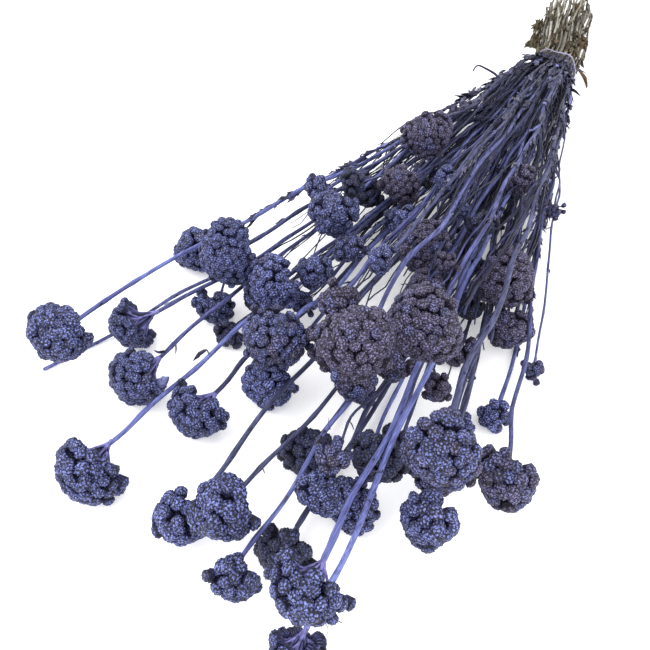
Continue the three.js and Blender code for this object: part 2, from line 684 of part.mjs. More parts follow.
// The keys of the corners round the outline, in order
function rimOf(cells) {
  const next = new Map();
  cells.forEach(({ ring }) => ring.forEach((key, i) => next.set(`${key}>${ring[(i + 1) % 6]}`, true)));
  const following = new Map();
  cells.forEach(({ ring }) => ring.forEach((key, i) => {
    const to = ring[(i + 1) % 6];
    if (!next.has(`${to}>${key}`)) {
      following.set(key, to);
    }
  }));
  const start = following.keys().next().value;
  const rim = [start];
  for (let key = following.get(start); key !== start; key = following.get(key)) {
    rim.push(key);
  }
  return rim;
}

// Adds a head to a stalk's last ring: the underside narrows to the stalk, the dome carries the buttons
function addHead(surface, chain, lastRing) {
  const { across, up, aim } = headFrame(chain);
  const last = chain.x.length - 1;
  const wide = chain.spec.wide;
  const centre = new THREE.Vector3(chain.x[last], chain.y[last], chain.z[last])
    .addScaledVector(aim, HEAD_DEPTH * wide);
  const { cells, corners, capRadius, rise } = headCells(wide);
  const place = (u, v, above) => {
    const out = Math.hypot(u, v);
    const lean = out / capRadius;
    const radius = capRadius + above;
    const side = out > 0 ? radius * Math.sin(lean) / out : 0;
    return centre.clone()
      .addScaledVector(across, u * side)
      .addScaledVector(up, v * side)
      .addScaledVector(aim, radius * Math.cos(lean) - CAP_BACK * wide);
  };
  const rim = rimOf(cells);
  corners.forEach((corner) => {
    corner.index = surface.point(place(corner.u, corner.v, -VALLEY_DROP));
  });
  cells.forEach(({ u, v, ring }) => {
    const top = surface.point(place(u, v, rise * (1 + drawBetween(-TOP_UNEVEN, TOP_UNEVEN))));
    ring.forEach((key, i) => {
      surface.triangle(top, corners.get(key).index, corners.get(ring[(i + 1) % 6]).index);
    });
  });
  const rimPoints = rim.map((key) => corners.get(key).index);
  const point = (index) => new THREE.Vector3().fromArray(surface.points, index * 3);
  const stalkEnd = lastRing.map(point);
  const owner = (m, phase) => Math.floor(4 * ((m + phase) % rimPoints.length) / rimPoints.length);
  let best = { phase: 0, reach: Infinity };
  for (let phase = 0; phase < rimPoints.length; phase += 1) {
    const reach = rimPoints.reduce(
      (sum, index, m) => sum + point(index).distanceTo(stalkEnd[owner(m, phase)]),
      0,
    );
    if (reach < best.reach) {
      best = { phase, reach };
    }
  }
  rimPoints.forEach((index, m) => {
    const nextIndex = rimPoints[(m + 1) % rimPoints.length];
    const here = lastRing[owner(m, best.phase)];
    const there = lastRing[owner((m + 1) % rimPoints.length, best.phase)];
    surface.triangle(here, nextIndex, index);
    if (here !== there) {
      surface.triangle(here, there, nextIndex);
    }
  });
}

// One chain as a closed solid, from its cut end or root to its head
function chainSolid(chain) {
  const surface = new Surface();
  const rings = chain.x.map((x, k) => stalkRing(surface, x, chain.y[k], chain.z[k], chain.side[k]));
  surface.lid([...rings[0]].reverse());
  for (let k = 0; k < rings.length - 1; k += 1) {
    surface.wall(rings[k], rings[k + 1]);
  }
  if (chain.spec.bare) {
    surface.lid(rings[rings.length - 1]);
  } else {
    addHead(surface, chain, rings[rings.length - 1]);
  }
  return surface.solid();
}

// How far the bundle reaches in a direction of its section at X, over every stalk
function bundleReach(x, direction) {
  return Math.max(...chains.filter((chain) => x >= chain.x[0] && x <= chain.x[chain.x.length - 1])
    .map((chain) => {
      const place = locate(chain.x, x);
      const half = along(chain.side, place) / 2;
      return along(chain.y, place) * direction.y + along(chain.z, place) * direction.z
        + half * (Math.abs(direction.y) + Math.abs(direction.z));
    }));
}

// A dried leaf scrap: a thin crumpled blade that leaves the outermost stalk and lies along the bundle
const LEAF_ROWS = [-78, -46, 14, 46, 80];
const LEAF_TURNS = [8, 42, 74, 106, 138, 172];
const LEAF_PROFILE = [0.2, 0.75, 1, 0.7, 0.15];
const LEAF_LIFT = 1;         // from the stalks to the blade
const LEAF_CURL = [0.2, 0.7];   // how far the blade bends away at each of its stations
const LEAF_TWIST = 0.12;
const ROW_TURN = 12;         // degrees by which every other row of scraps is turned
function leafSolid(x, turn) {
  const direction = { y: Math.cos(turn), z: Math.sin(turn) };
  const length = LEAF_LENGTH * drawBetween(0.75, 1);
  const reaches = chains.slice(0, STALKS.length).map((chain) => {
    const place = locate(chain.x, x);
    return along(chain.y, place) * direction.y + along(chain.z, place) * direction.z;
  });
  const bearer = chains[reaches.indexOf(Math.max(...reaches))];
  const surface = new Surface();
  const step = length / (LEAF_PROFILE.length - 1);
  const rootPlace = locate(bearer.x, x);
  const rootY = along(bearer.y, rootPlace);
  const rootZ = along(bearer.z, rootPlace);
  const rootSide = rootY * direction.z - rootZ * direction.y;
  const rings = LEAF_PROFILE.map((share, k) => {
    const leafX = x + step * k;
    const nearby = [leafX - step, leafX, Math.min(leafX + step, x + length)];
    const clear = Math.max(...nearby.map((nearX) => bundleReach(nearX, direction)));
    const out = k === 0
      ? rootY * direction.y + rootZ * direction.z
      : clear + LEAF_LIFT + k * drawBetween(...LEAF_CURL);
    const half = LEAF_WIDTH * share / 2;
    const twist = k * drawBetween(-LEAF_TWIST, LEAF_TWIST);
    return CORNERS.map(([side, face]) => {
      const sideways = rootSide + side * half;
      const outward = out + face * LEAF_THICK / 2 + side * half * twist;
      return surface.point(new THREE.Vector3(
        leafX,
        outward * direction.y + sideways * direction.z,
        outward * direction.z - sideways * direction.y,
      ));
    });
  });
  surface.lid([...rings[0]].reverse());
  for (let k = 0; k < rings.length - 1; k += 1) {
    surface.wall(rings[k], rings[k + 1]);
  }
  surface.lid(rings[rings.length - 1]);
  return { solid: surface.solid(), node: bearer.node };
}

// The band: one narrow strap, tight round the outline of the bundle
const BAND_SIDES = 28;
function bandSolid() {
  const surface = new Surface();
  const corners = stalkSlots.flatMap((slot) => CORNERS.map(([across, up]) => ({
    y: slot.y + across * STALK_AT_BAND / 2,
    z: slot.z + up * STALK_AT_BAND / 2,
  })));
  const turns = Array.from({ length: BAND_SIDES }, (_, i) => (i * 2 * Math.PI) / BAND_SIDES - Math.PI / 2);
  const reach = turns.map((turn) => Math.max(
    ...corners.map((corner) => corner.y * Math.cos(turn) + corner.z * Math.sin(turn)),
  ));
  const outline = (extra) => turns.map((turn, i) => {
    const next = (i + 1) % BAND_SIDES;
    const a = reach[i] + extra;
    const b = reach[next] + extra;
    const between = 2 * Math.PI / BAND_SIDES;
    const slide = (b - a * Math.cos(between)) / Math.sin(between);
    return {
      y: a * Math.cos(turn) - slide * Math.sin(turn),
      z: BAND_HEIGHT + a * Math.sin(turn) + slide * Math.cos(turn),
    };
  });
  const half = BAND_WIDTH / 2;
  const profile = [
    [-half, BAND_THICK - BAND_BEVEL],
    [-half + BAND_BEVEL, BAND_THICK],
    [half - BAND_BEVEL, BAND_THICK],
    [half, BAND_THICK - BAND_BEVEL],
    [half, 0],
    [-half, 0],
  ];
  const rings = profile.map(([x, out]) => outline(BAND_PLAY + out)
    .map(({ y, z }) => surface.point(new THREE.Vector3(x, y, z))));
  rings.forEach((ring, i) => surface.wall(ring, rings[(i + 1) % rings.length]));
  return surface.solid();
}

// The outer skin of what was fused: a hollow sealed inside is filled, a loose scrap dropped and
// an edge shorter than SHORTEST_EDGE closed up
const SHORTEST_EDGE = 0.03;
function outerBody(solid) {
  const bodies = solid.simplify(SHORTEST_EDGE).decompose();
  return bodies.reduce((largest, body) => (body.volume() > largest.volume() ? body : largest));
}

function meshOf(solid, name, material) {
  const { vertProperties, triVerts } = outerBody(solid).getMesh();
  const geometry = new THREE.BufferGeometry();
  geometry.setAttribute('position', new THREE.BufferAttribute(Float32Array.from(vertProperties), 3));
  geometry.setIndex(Array.from(triVerts));
  geometry.computeVertexNormals();
  const mesh = new THREE.Mesh(geometry, material);
  mesh.name = name;
  return mesh;
}

// Dyed violet, a little redder or paler from stalk to stalk
const VIOLET = { hue: 0.66, saturation: 0.26, lightness: 0.3 };
const DYE_STEP = 0.02;
function dyedMaterial(index) {
  const hue = VIOLET.hue + DYE_STEP * (index % 4);
  const lightness = VIOLET.lightness + DYE_STEP * (index % 3);
  const colour = new THREE.Color().setHSL(hue, VIOLET.saturation, lightness);
  return new THREE.MeshStandardMaterial({ color: colour, roughness: 0.85, metalness: 0 });
}

const solids = STALKS.map((spec, index) => chainSolid(chains[index]));
shootChains.forEach((chain) => {
  solids[chain.node] = solids[chain.node].add(chainSolid(chain));
});
LEAF_ROWS.forEach((x, row) => {
  LEAF_TURNS.forEach((degrees) => {
    const turn = THREE.MathUtils.degToRad(degrees + (row % 2) * ROW_TURN);
    const leaf = leafSolid(x, turn);
    solids[leaf.node] = solids[leaf.node].add(leaf.solid);
  });
});

const bunch = new THREE.Group();
solids.forEach((solid, index) => {
  bunch.add(meshOf(solid, `stalk_${String(index + 1).padStart(2, '0')}`, dyedMaterial(index)));
});
bunch.add(meshOf(bandSolid(), 'band', new THREE.MeshStandardMaterial({
  color: 0x8d86b4, roughness: 0.6, metalness: 0,
})));

const box = new THREE.Box3().setFromObject(bunch);
bunch.position.set(-(box.min.x + box.max.x) / 2, -(box.min.y + box.max.y) / 2, -box.min.z);

export default bunch;
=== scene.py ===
# A bunch of dried golden ageratum, dyed violet-blue and tied near its cut ends: the looks, built
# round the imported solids. Metres, +Z up. The bunch lies on its side, +X from the cut ends to the flowers.
import math

import bpy
import numpy as np
from mathutils import Matrix, Vector


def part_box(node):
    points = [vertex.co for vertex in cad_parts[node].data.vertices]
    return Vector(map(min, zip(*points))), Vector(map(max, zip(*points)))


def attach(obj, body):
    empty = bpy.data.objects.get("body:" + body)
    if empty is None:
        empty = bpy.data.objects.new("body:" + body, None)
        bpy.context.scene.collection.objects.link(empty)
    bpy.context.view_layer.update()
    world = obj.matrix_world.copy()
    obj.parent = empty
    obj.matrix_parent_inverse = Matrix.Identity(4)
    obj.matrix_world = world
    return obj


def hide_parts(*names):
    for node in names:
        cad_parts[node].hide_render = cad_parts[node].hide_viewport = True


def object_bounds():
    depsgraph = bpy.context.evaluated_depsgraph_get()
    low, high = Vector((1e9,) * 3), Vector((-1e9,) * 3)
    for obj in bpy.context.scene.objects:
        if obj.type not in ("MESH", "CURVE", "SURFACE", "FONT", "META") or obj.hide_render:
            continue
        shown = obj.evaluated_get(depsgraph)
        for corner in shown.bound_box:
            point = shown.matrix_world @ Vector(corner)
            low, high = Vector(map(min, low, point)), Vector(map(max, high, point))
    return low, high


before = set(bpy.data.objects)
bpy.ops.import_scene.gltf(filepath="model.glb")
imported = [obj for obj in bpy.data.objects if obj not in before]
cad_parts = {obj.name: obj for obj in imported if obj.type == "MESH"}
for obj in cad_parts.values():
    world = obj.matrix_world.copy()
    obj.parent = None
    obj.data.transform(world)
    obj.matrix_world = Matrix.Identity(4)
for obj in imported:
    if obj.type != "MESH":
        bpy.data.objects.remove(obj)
solid_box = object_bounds()

# The camera. It stands beyond the flower ends, looks steeply down on the bunch and is turned so
# that the stalks run from the upper right of the picture to its lower left.
EYE_FROM_BAND = Vector((0.672, 0.109, 0.345))   # ahead of the band's middle, aside of it, above the table
EYE_PITCH = math.radians(49)
EYE_TURN = math.radians(240.6)
PICTURE = 650                 # pixels each way
FOCAL_PIXELS = 650
SENSOR = 36

band_low, band_high = (Vector(corner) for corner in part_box("band"))
band_middle = (band_low + band_high) / 2
eye = Vector((band_middle.x + EYE_FROM_BAND.x, band_middle.y + EYE_FROM_BAND.y, EYE_FROM_BAND.z))
rightward = Vector((math.cos(EYE_TURN), -math.sin(EYE_TURN), 0))
onward = Vector((
    math.cos(EYE_PITCH) * math.sin(EYE_TURN),
    math.cos(EYE_PITCH) * math.cos(EYE_TURN),
    -math.sin(EYE_PITCH),
))
upward = rightward.cross(onward)

lens = bpy.data.cameras.new("camera")
lens.sensor_width = SENSOR
lens.lens = SENSOR * FOCAL_PIXELS / PICTURE
lens.clip_start = 0.01
camera = bpy.data.objects.new("camera", lens)
camera.matrix_world = Matrix.Translation(eye) @ Matrix((rightward, upward, -onward)).transposed().to_4x4()
bpy.context.collection.objects.link(camera)
bpy.context.scene.camera = camera


# The table and the light of a small studio: a white table top, one broad soft lamp over the left of
# the bunch, a weaker one from the other side, and an even white surround.
TABLE_REACH = 3.0
TABLE_WHITE = (0.92, 0.92, 0.93)
TABLE_MOTTLE = 0.985          # how bright its faint mottle is, of the white
SURROUND_STRENGTH = 1.5
TABLE_GLOW = 0.3              # the table top is lit a little from below, so shadows stay faint


def new_finish(name):
    """A node material, its tree and its shader."""
    material = bpy.data.materials.new(name)
    material.use_nodes = True
    tree = material.node_tree
    return material, tree, tree.nodes["Principled BSDF"]


def set_inputs(tree, node, inputs):
    """Links the inputs that come from other nodes and sets the others."""
    for socket, value in inputs.items():
        if isinstance(value, bpy.types.NodeSocket):
            tree.links.new(value, node.inputs[socket])
        else:
            node.inputs[socket].default_value = value


def add_node(tree, kind, inputs=None, **settings):
    node = tree.nodes.new(kind)
    for setting, value in settings.items():
        setattr(node, setting, value)
    set_inputs(tree, node, inputs or {})
    return node


def mix_colours(tree, share, first, second, blend="MIX"):
    """A colour between two, each red, green and blue or what another node gives."""
    inputs = {0: share}
    for socket, colour in ((6, first), (7, second)):
        inputs[socket] = (*colour, 1) if isinstance(colour, tuple) else colour
    return add_node(tree, "ShaderNodeMix", inputs, data_type="RGBA", blend_type=blend).outputs[2]


table_mesh = bpy.data.meshes.new("table")
table_mesh.from_pydata(
    [(x * TABLE_REACH, y * TABLE_REACH, 0) for x, y in ((-1, -1), (1, -1), (1, 1), (-1, 1))],
    [],
    [(0, 1, 2, 3)],
)
table_top, tree, shader = new_finish("table_white")
grain = add_node(tree, "ShaderNodeTexNoise", {"Scale": 3.0, "Detail": 2.0})
darker_white = tuple(TABLE_MOTTLE * part for part in TABLE_WHITE)
set_inputs(tree, shader, {
    "Base Color": mix_colours(tree, grain.outputs["Fac"], TABLE_WHITE, darker_white),
    "Roughness": 0.9,
    "Specular IOR Level": 0.1,
    "Emission Color": (1, 1, 1, 1),
    "Emission Strength": TABLE_GLOW,
})
table_mesh.materials.append(table_top)
table = bpy.data.objects.new("table", table_mesh)
bpy.context.collection.objects.link(table)

surround = bpy.data.worlds.new("surround")
surround.use_nodes = True
surround.node_tree.nodes["Background"].inputs["Color"].default_value = (1, 1, 1, 1)
surround.node_tree.nodes["Background"].inputs["Strength"].default_value = SURROUND_STRENGTH
bpy.context.scene.world = surround
bpy.context.scene.view_settings.view_transform = "Standard"


def add_lamp(name, place, watts, size):
    """A square soft lamp that looks at the middle of the bunch."""
    light = bpy.data.lights.new(name, "AREA")
    light.energy = watts
    light.size = size
    lamp = bpy.data.objects.new(name, light)
    lamp.location = place
    lamp.rotation_euler = (-Vector(place)).to_track_quat("-Z", "Y").to_euler()
    bpy.context.collection.objects.link(lamp)


add_lamp("broad_lamp", place=(0.9, -0.9, 1.9), watts=24, size=1.5)
add_lamp("side_lamp", place=(0.5, 1.5, 1.2), watts=7, size=1.2)

# The routes of the stalks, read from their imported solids. Each solid is a chain of square rings in
# planes of constant X, with a round cap of buttons at its end and sometimes a thinner side shoot.
SNAP = 3e-5                   # corners closer than this are in line
RING_SIDES = (0.0018, 0.0039)
SHOOT_SIDE = 0.0023           # rings thinner than this are a side shoot's
CAP_TOP_SHARE = 0.88          # from the end of the stalk to the top of the cap, of the cap's width
CAP_BACK_SHARE = 0.36         # from the end of the stalk to the middle of the cap's sphere, of its width
CAP_REACH = 1.6               # the cap's farthest corner, of the distance of its rim
RIM_REACH = (0.6, 1.5)        # nearest and farthest corner of its rim, of the middle distance
LEAST_RIM = 6                 # corners round a cap
FORK_BEHIND = 0.02            # where a side shoot starts that has no corner behind its first ring


def solid_corners(node):
    """The corners of a solid, and for each the corners that an edge joins it to."""
    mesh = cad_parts[node].data
    flat = np.empty(len(mesh.vertices) * 3)
    mesh.vertices.foreach_get("co", flat)
    corners, index = np.unique(np.round(flat.reshape(-1, 3), 6), axis=0, return_inverse=True)
    index = index.reshape(-1)
    joined = [set() for _ in corners]
    for edge in mesh.edges:
        first, second = (int(index[vertex]) for vertex in edge.vertices)
        if first != second:
            joined[first].add(second)
            joined[second].add(first)
    return corners, joined


def square_rings(corners):
    """The square rings of a solid, in order of X: middle, side and the four corners' indices."""
    planes = {}
    for index, corner in enumerate(corners):
        planes.setdefault(round(corner[0], 5), []).append(index)
    rings = []
    for x, members in planes.items():
        for low in members:
            y, z = corners[low][1:]
            for right in members:
                side = corners[right][1] - y
                level = abs(corners[right][2] - z) < SNAP
                if not level or not RING_SIDES[0] < side < RING_SIDES[1]:
                    continue
                tops = [
                    top for top in members
                    if abs(corners[top][2] - z - side) < SNAP
                    and min(abs(corners[top][1] - y), abs(corners[top][1] - y - side)) < SNAP
                ]
                if len(tops) == 2:
                    middle = np.array((x, y + side / 2, z + side / 2))
                    rings.append({"middle": middle, "side": side, "corners": {low, right, *tops}})
    return sorted(rings, key=lambda ring: ring["middle"][0])


def spread_from(starts, joined, barred):
    """Every corner that edges reach from the starts without crossing a barred one."""
    reached = set(starts)
    waiting = list(starts)
    while waiting:
        for corner in joined[waiting.pop()]:
            if corner not in reached and corner not in barred:
                reached.add(corner)
                waiting.append(corner)
    return reached


def unit(vector):
    return vector / np.linalg.norm(vector)


def read_cap(corners, joined, end_ring, ring_corners):
    """The flower cluster at the end of a chain: where it sits, where it looks and its outline."""
    rim = sorted(set().union(*(joined[corner] for corner in end_ring["corners"])) - ring_corners)
    if len(rim) < LEAST_RIM:
        return None
    end = end_ring["middle"]
    away = np.linalg.norm(corners - end, axis=1)
    reach = np.median(away[rim])
    rim = [corner for corner in rim if RIM_REACH[0] * reach < away[corner] < RIM_REACH[1] * reach]
    cap = sorted(spread_from(rim, joined, ring_corners))
    cap = corners[[corner for corner in cap if RIM_REACH[0] * reach < away[corner] < CAP_REACH * reach]]
    aim = unit(cap.mean(axis=0) - end)
    wide = ((cap - end) @ aim).max() / CAP_TOP_SHARE
    centre = end + aim * CAP_BACK_SHARE * wide
    across = unit(np.cross((0, 0, 1), aim))
    up = np.cross(aim, across)
    outline = []
    for point in corners[rim] - centre:
        turn = math.atan2(point @ up, point @ across)
        lean = math.acos(np.clip(point @ aim / np.linalg.norm(point), -1, 1))
        outline.append((turn, lean))
    radius = np.median(np.linalg.norm(corners[rim] - centre, axis=1))
    return {
        "end": end, "centre": centre, "across": across, "up": up, "aim": aim,
        "wide": wide, "radius": radius, "outline": sorted(outline),
    }


def read_chains(node):
    """A stalk and its side shoots: each a route of ring middles, its half-thicknesses and its cap."""
    corners, joined = solid_corners(node)
    rings = square_rings(corners)
    ring_corners = set().union(*(ring["corners"] for ring in rings))
    stalk = [ring for ring in rings if ring["side"] > SHOOT_SIDE]
    groups = [stalk]
    for ring in rings:
        if ring["side"] > SHOOT_SIDE:
            continue
        touching = set().union(*(joined[corner] for corner in ring["corners"]))
        for group in groups[1:]:
            if group[-1]["corners"] & touching:
                group.append(ring)
                break
        else:
            groups.append([ring])
    chains = []
    for group in groups:
        chain = {
            "route": np.array([ring["middle"] for ring in group]),
            "half": np.array([ring["side"] / 2 for ring in group]),
            "cap": read_cap(corners, joined, group[-1], ring_corners),
        }
        if group is not stalk:
            around = set().union(*(joined[corner] for corner in group[0]["corners"])) - ring_corners
            behind = [corner for corner in around if corners[corner][0] < group[0]["middle"][0]]
            fork_x = group[0]["middle"][0] - FORK_BEHIND
            if behind:
                fork_x = corners[behind].mean(axis=0)[0]
            stalk_route = chains[0]["route"]
            fork = [np.interp(fork_x, stalk_route[:, 0], stalk_route[:, axis]) for axis in range(3)]
            chain["route"] = np.vstack([fork, chain["route"]])
            chain["half"] = np.concatenate([chain["half"][:1], chain["half"]])
        chains.append(chain)
    return chains


stalk_names = sorted(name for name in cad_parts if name.startswith("stalk"))
chains_of = {name: read_chains(name) for name in stalk_names}

# The stems. Each is a dry woody stem, 3 mm thick in the fan and thinner where it is pressed in the
# band, ribbed along its length, with a slight kink and a swelling at each joint. The bunch was dyed
# from the band to the flowers, so the cut ends keep the straw and olive brown of the dry plant.
STEM_STEP = 0.006
STEM_SIDES = 8
RIB_DEPTH = 0.09              # of the radius
STEM_FULLNESS = 0.94          # round stem radius over the half side of its square solid
BARE_FULLNESS = 1.5           # of a shoot that has lost its flowers
PRESSED_FULLNESS = 0.58       # of a stem at the band
PRESSED_REACH = 0.26          # over which a stem fills out from the band
STEM_THICKNESSES = (0.86, 1.06)   # how stems differ in thickness
JOINT_PITCH = 0.042
FIRST_JOINT = (0.3, 1)        # where the first may be, of the pitch
JOINT_JITTER = 0.25
JOINT_SWELL = 0.22
JOINT_REACH = 0.004
KINK = 0.0013                 # how far a joint stands off the even route, to each side
SWAY = 0.0010                 # waves of the stem, to each side
SWAY_LENGTH = 0.11
SWAY_LENGTHS = (0.7, 1.4)     # how the waves differ, of that
HELD_REACH = (0.006, 0.03, 0.02)   # from the band, the flower end and the cut end, where stems are held
TABLE_GAP = 0.0001
CUT_TIP = 0.0003              # how far a stem's two ends are rounded
FLOWER_TIP = 0.001
STEM_TONES = (0.1, 0.84)      # from slate to violet, for the stalks that are not named here
LILAC_TONE = 0.92
SLATE_TONE = 0.3
# The paler colour on a stem's streaks is partly its grain, partly a painted highlight along it.
STEM_SLATE = ((0.016, 0.017, 0.040), (0.085, 0.095, 0.20))   # a stem's colours, in and on its streaks
STEM_VIOLET = ((0.026, 0.027, 0.09), (0.16, 0.18, 0.46))
STEM_LILAC = ((0.08, 0.092, 0.28), (0.27, 0.32, 0.76))
STEM_STRAW = ((0.15, 0.13, 0.10), (0.68, 0.67, 0.60))
STEM_OLIVE = ((0.02, 0.016, 0.008), (0.16, 0.13, 0.05))
STEM_AGES = ((0.35, 0.31, 0.28), (1.05, 1.05, 1.05))   # what age leaves of the straw
WORN = (0.55, 0.52, 0.60)     # what wear leaves of the dye, in patches
DULL = (0.62, 0.66, 0.50)     # what is left of the dye's brightness next to the band
DULL_REACH = 0.24             # from the band to where the dye has its full colour
UNTOUCHED = (1, 1, 1)
DYE_EDGE = (band_low.x - 0.004, band_low.x + 0.006)   # X where the dye fades in
DYE_WAVER = 0.02
PLANT_SHADE = 0.9
STREAK_SCALE = (60.0, 1100.0, 1100.0)   # streaks are long in X
PATCH_NOISE = (34.0, 3.0)     # scale and detail of the uneven wear
DYE_NOISE = (90.0, 3.0)       # and of the edge of the dye
SLATE_TO_VIOLET = (0.25, 0.55)     # tones over which a stem's colour changes
VIOLET_TO_LILAC = (0.78, 0.95)
STRAW_TO_OLIVE = (0.6, 0.85)


def stalks(*numbers):
    return {f"stalk_{number:02d}" for number in numbers}


LILAC_STALKS = stalks(1, 6, 9, 11, 12, 15, 34)
SLATE_STALKS = stalks(4, 7, 10, 14, 16, 17)

draws = np.random.default_rng(411)
grown = {name: [] for name in stalk_names}   # mesh parts of each stalk, by node


def mesh_part(points, faces, finish, tone=0.0, depth=1.0, own=None, tip=0.0, shade=1.0):
    """A part of a mesh. tone: its own hue, 0 to 1. depth: 0 hidden inside, 1 outside. own: places for
    its grain. tip: 1 on the tips of florets and ribs. shade: below 1 where it is darker than its kind."""
    part = {"points": points, "faces": faces, "finish": finish, "own": points if own is None else own}
    for name, value in (("tone", tone), ("depth", depth), ("tip", tip), ("shade", shade)):
        part[name] = np.broadcast_to(value, len(points))
    return part


def grow(node, points, *about, **more):
    """Adds a mesh part to a stalk, no lower than the table. What follows its points is mesh_part's."""
    points = np.array(points, dtype=float)
    points[:, 2] = np.maximum(points[:, 2], TABLE_GAP)
    grown[node].append(mesh_part(points, *about, **more))


def smooth_route(stations, step):
    """Points about a step apart on a smooth curve through stations that go on in X."""
    x = stations[:, 0]
    span = np.diff(x)
    rise = np.diff(stations, axis=0) / span[:, None]
    inner = (rise[:-1] * span[1:, None] + rise[1:] * span[:-1, None]) / (span[1:] + span[:-1])[:, None]
    slope = np.vstack([rise[:1], inner, rise[-1:]])
    at = np.linspace(x[0], x[-1], max(3, int(round((x[-1] - x[0]) / step)) + 1))
    leg = np.clip(np.searchsorted(x, at, side="right") - 1, 0, len(x) - 2)
    t = ((at - x[leg]) / span[leg])[:, None]
    width = span[leg][:, None]
    return (
        (2 * t**3 - 3 * t**2 + 1) * stations[leg] + (t**3 - 2 * t**2 + t) * width * slope[leg]
        + (3 * t**2 - 2 * t**3) * stations[leg + 1] + (t**3 - t**2) * width * slope[leg + 1]
    )


def ring_faces(rings, sides, first=0):
    """Faces of a tube of rings, as rows of four corners."""
    ring, side = np.meshgrid(np.arange(rings - 1), np.arange(sides), indexing="ij")
    here = first + ring * sides + side
    beside = first + ring * sides + (side + 1) % sides
    return np.stack([here, beside, beside + sides, here + sides], axis=-1).reshape(-1, 4)


def fan_faces(ring_start, sides, tip, outward):
    """Faces that close a ring of a tube on one tip point."""
    side = np.arange(sides)
    here = ring_start + side
    beside = ring_start + (side + 1) % sides
    tips = np.full(sides, tip)
    return np.stack([here, beside, tips] if outward else [beside, here, tips], axis=-1)


def directions(points):
    """Which way a path goes at each of its points."""
    along = np.gradient(points, axis=0)
    return along / np.linalg.norm(along, axis=1)[:, None]


def soften(path):
    """Rounds the corners of a path, where it is, and keeps its two ends."""
    path[1:-1] = (path[:-2] + 2 * path[1:-1] + path[2:]) / 4


def tube(points, radii, sides, ribs=0.0, spin=0.0, tips=(0.0, 0.0)):
    """A tube along points, closed at both ends by a tip. ribs: how deep every third corner lies."""
    points = np.asarray(points, dtype=float)
    along = directions(points)
    helper = (0, 0, 1) if abs(along[0][2]) < 0.9 else (0, 1, 0)
    normal = np.cross(helper, along[0])
    angles = spin + np.arange(sides) * 2 * math.pi / sides
    depth = 1 - ribs * (np.arange(sides) % 3 == 0)
    rings = []
    for point, forward, radius in zip(points, along, radii):
        normal = unit(normal - forward * (normal @ forward))
        other = np.cross(forward, normal)
        spokes = np.outer(np.cos(angles), normal) + np.outer(np.sin(angles), other)
        rings.append(point + spokes * (radius * depth)[:, None])
    count = len(points)
    corners = np.vstack([*rings, points[0] - along[0] * tips[0], points[-1] + along[-1] * tips[1]])
    faces = [
        ring_faces(count, sides),
        fan_faces(0, sides, count * sides, False),
        fan_faces((count - 1) * sides, sides, count * sides + 1, True),
    ]
    return corners, faces


def find_joints(first_x, last_x):
    """Where the joints of a stem are, unevenly spaced."""
    joints = np.arange(first_x + JOINT_PITCH * draws.uniform(*FIRST_JOINT), last_x, JOINT_PITCH)
    return joints + draws.uniform(-JOINT_JITTER, JOINT_JITTER, len(joints)) * JOINT_PITCH


def kinked(route, joints):
    """The route with a slight kink at each joint and a slow sway between, none at its two ends."""
    x = route[:, 0]
    at_band, at_flower, at_cut = HELD_REACH
    free = np.clip((np.abs(x - band_middle.x) - at_band) / SWAY_LENGTH, 0.1, 1)
    free = free * np.clip((x[-1] - x) / at_flower, 0, 1) * np.clip((x - x[0]) / at_cut, 0, 1)
    stations = np.concatenate([[x[0]], joints, [x[-1]]])
    bent = route.copy()
    for axis in (1, 2):
        kinks = draws.normal(0, KINK, len(stations))
        length = SWAY_LENGTH * draws.uniform(*SWAY_LENGTHS)
        sway = SWAY * np.sin(2 * math.pi * x / length + draws.uniform(0, 6))
        bent[:, axis] += free * (np.interp(x, stations, kinks) + sway)
    soften(bent)
    return bent


for node, chains in chains_of.items():
    for chain in chains:
        even = smooth_route(chain["route"], STEM_STEP)
        joints = find_joints(even[0, 0], even[-1, 0])
        route = kinked(even, joints)
        x = route[:, 0]
        filled = np.clip(np.abs(x - band_middle.x) / PRESSED_REACH, 0, 1)
        fullness = PRESSED_FULLNESS + (STEM_FULLNESS - PRESSED_FULLNESS) * filled
        thickness = draws.uniform(*STEM_THICKNESSES)
        radius = np.interp(x, chain["route"][:, 0], chain["half"]) * fullness * thickness
        if not chain["cap"]:
            radius = radius * BARE_FULLNESS
        for joint in joints:
            radius = radius * (1 + JOINT_SWELL * np.exp(-((x - joint) / JOINT_REACH) ** 2))
        route[:, 2] = np.maximum(route[:, 2], radius + TABLE_GAP)
        chain["smooth"] = route
        chain["joints"] = joints
        chain["tone"] = draws.uniform(*STEM_TONES)
        if node in LILAC_STALKS:
            chain["tone"] = LILAC_TONE
        if node in SLATE_STALKS:
            chain["tone"] = SLATE_TONE
        ends = (CUT_TIP, FLOWER_TIP)
        corners, faces = tube(route, radius, STEM_SIDES, RIB_DEPTH, draws.uniform(0, 6), ends)
        grow(node, corners, faces, "stem", chain["tone"])


def range_of(tree, value, low, high, to_low=0.0, to_high=1.0):
    """Maps a value between low and high to another range, and holds it there."""
    node = add_node(tree, "ShaderNodeMapRange", {
        "Value": value, "From Min": low, "From Max": high, "To Min": to_low, "To Max": to_high,
    })
    return node.outputs["Result"]


def calculate(tree, operation, first, second=0.0):
    return add_node(tree, "ShaderNodeMath", {0: first, 1: second}, operation=operation).outputs[0]


def noise(tree, place, scale, detail):
    """Uneven noise from 0 to 1, finer with a greater scale."""
    settings = {"Vector": place, "Scale": scale, "Detail": detail}
    return add_node(tree, "ShaderNodeTexNoise", settings).outputs["Fac"]


def object_place(tree):
    return add_node(tree, "ShaderNodeTexCoord").outputs["Object"]


def own_value(tree, name, output="Fac"):
    return add_node(tree, "ShaderNodeAttribute", attribute_name=name).outputs[output]


def bump_from(tree, height, strength, distance):
    inputs = {"Height": height, "Strength": strength, "Distance": distance}
    return add_node(tree, "ShaderNodeBump", inputs).outputs["Normal"]


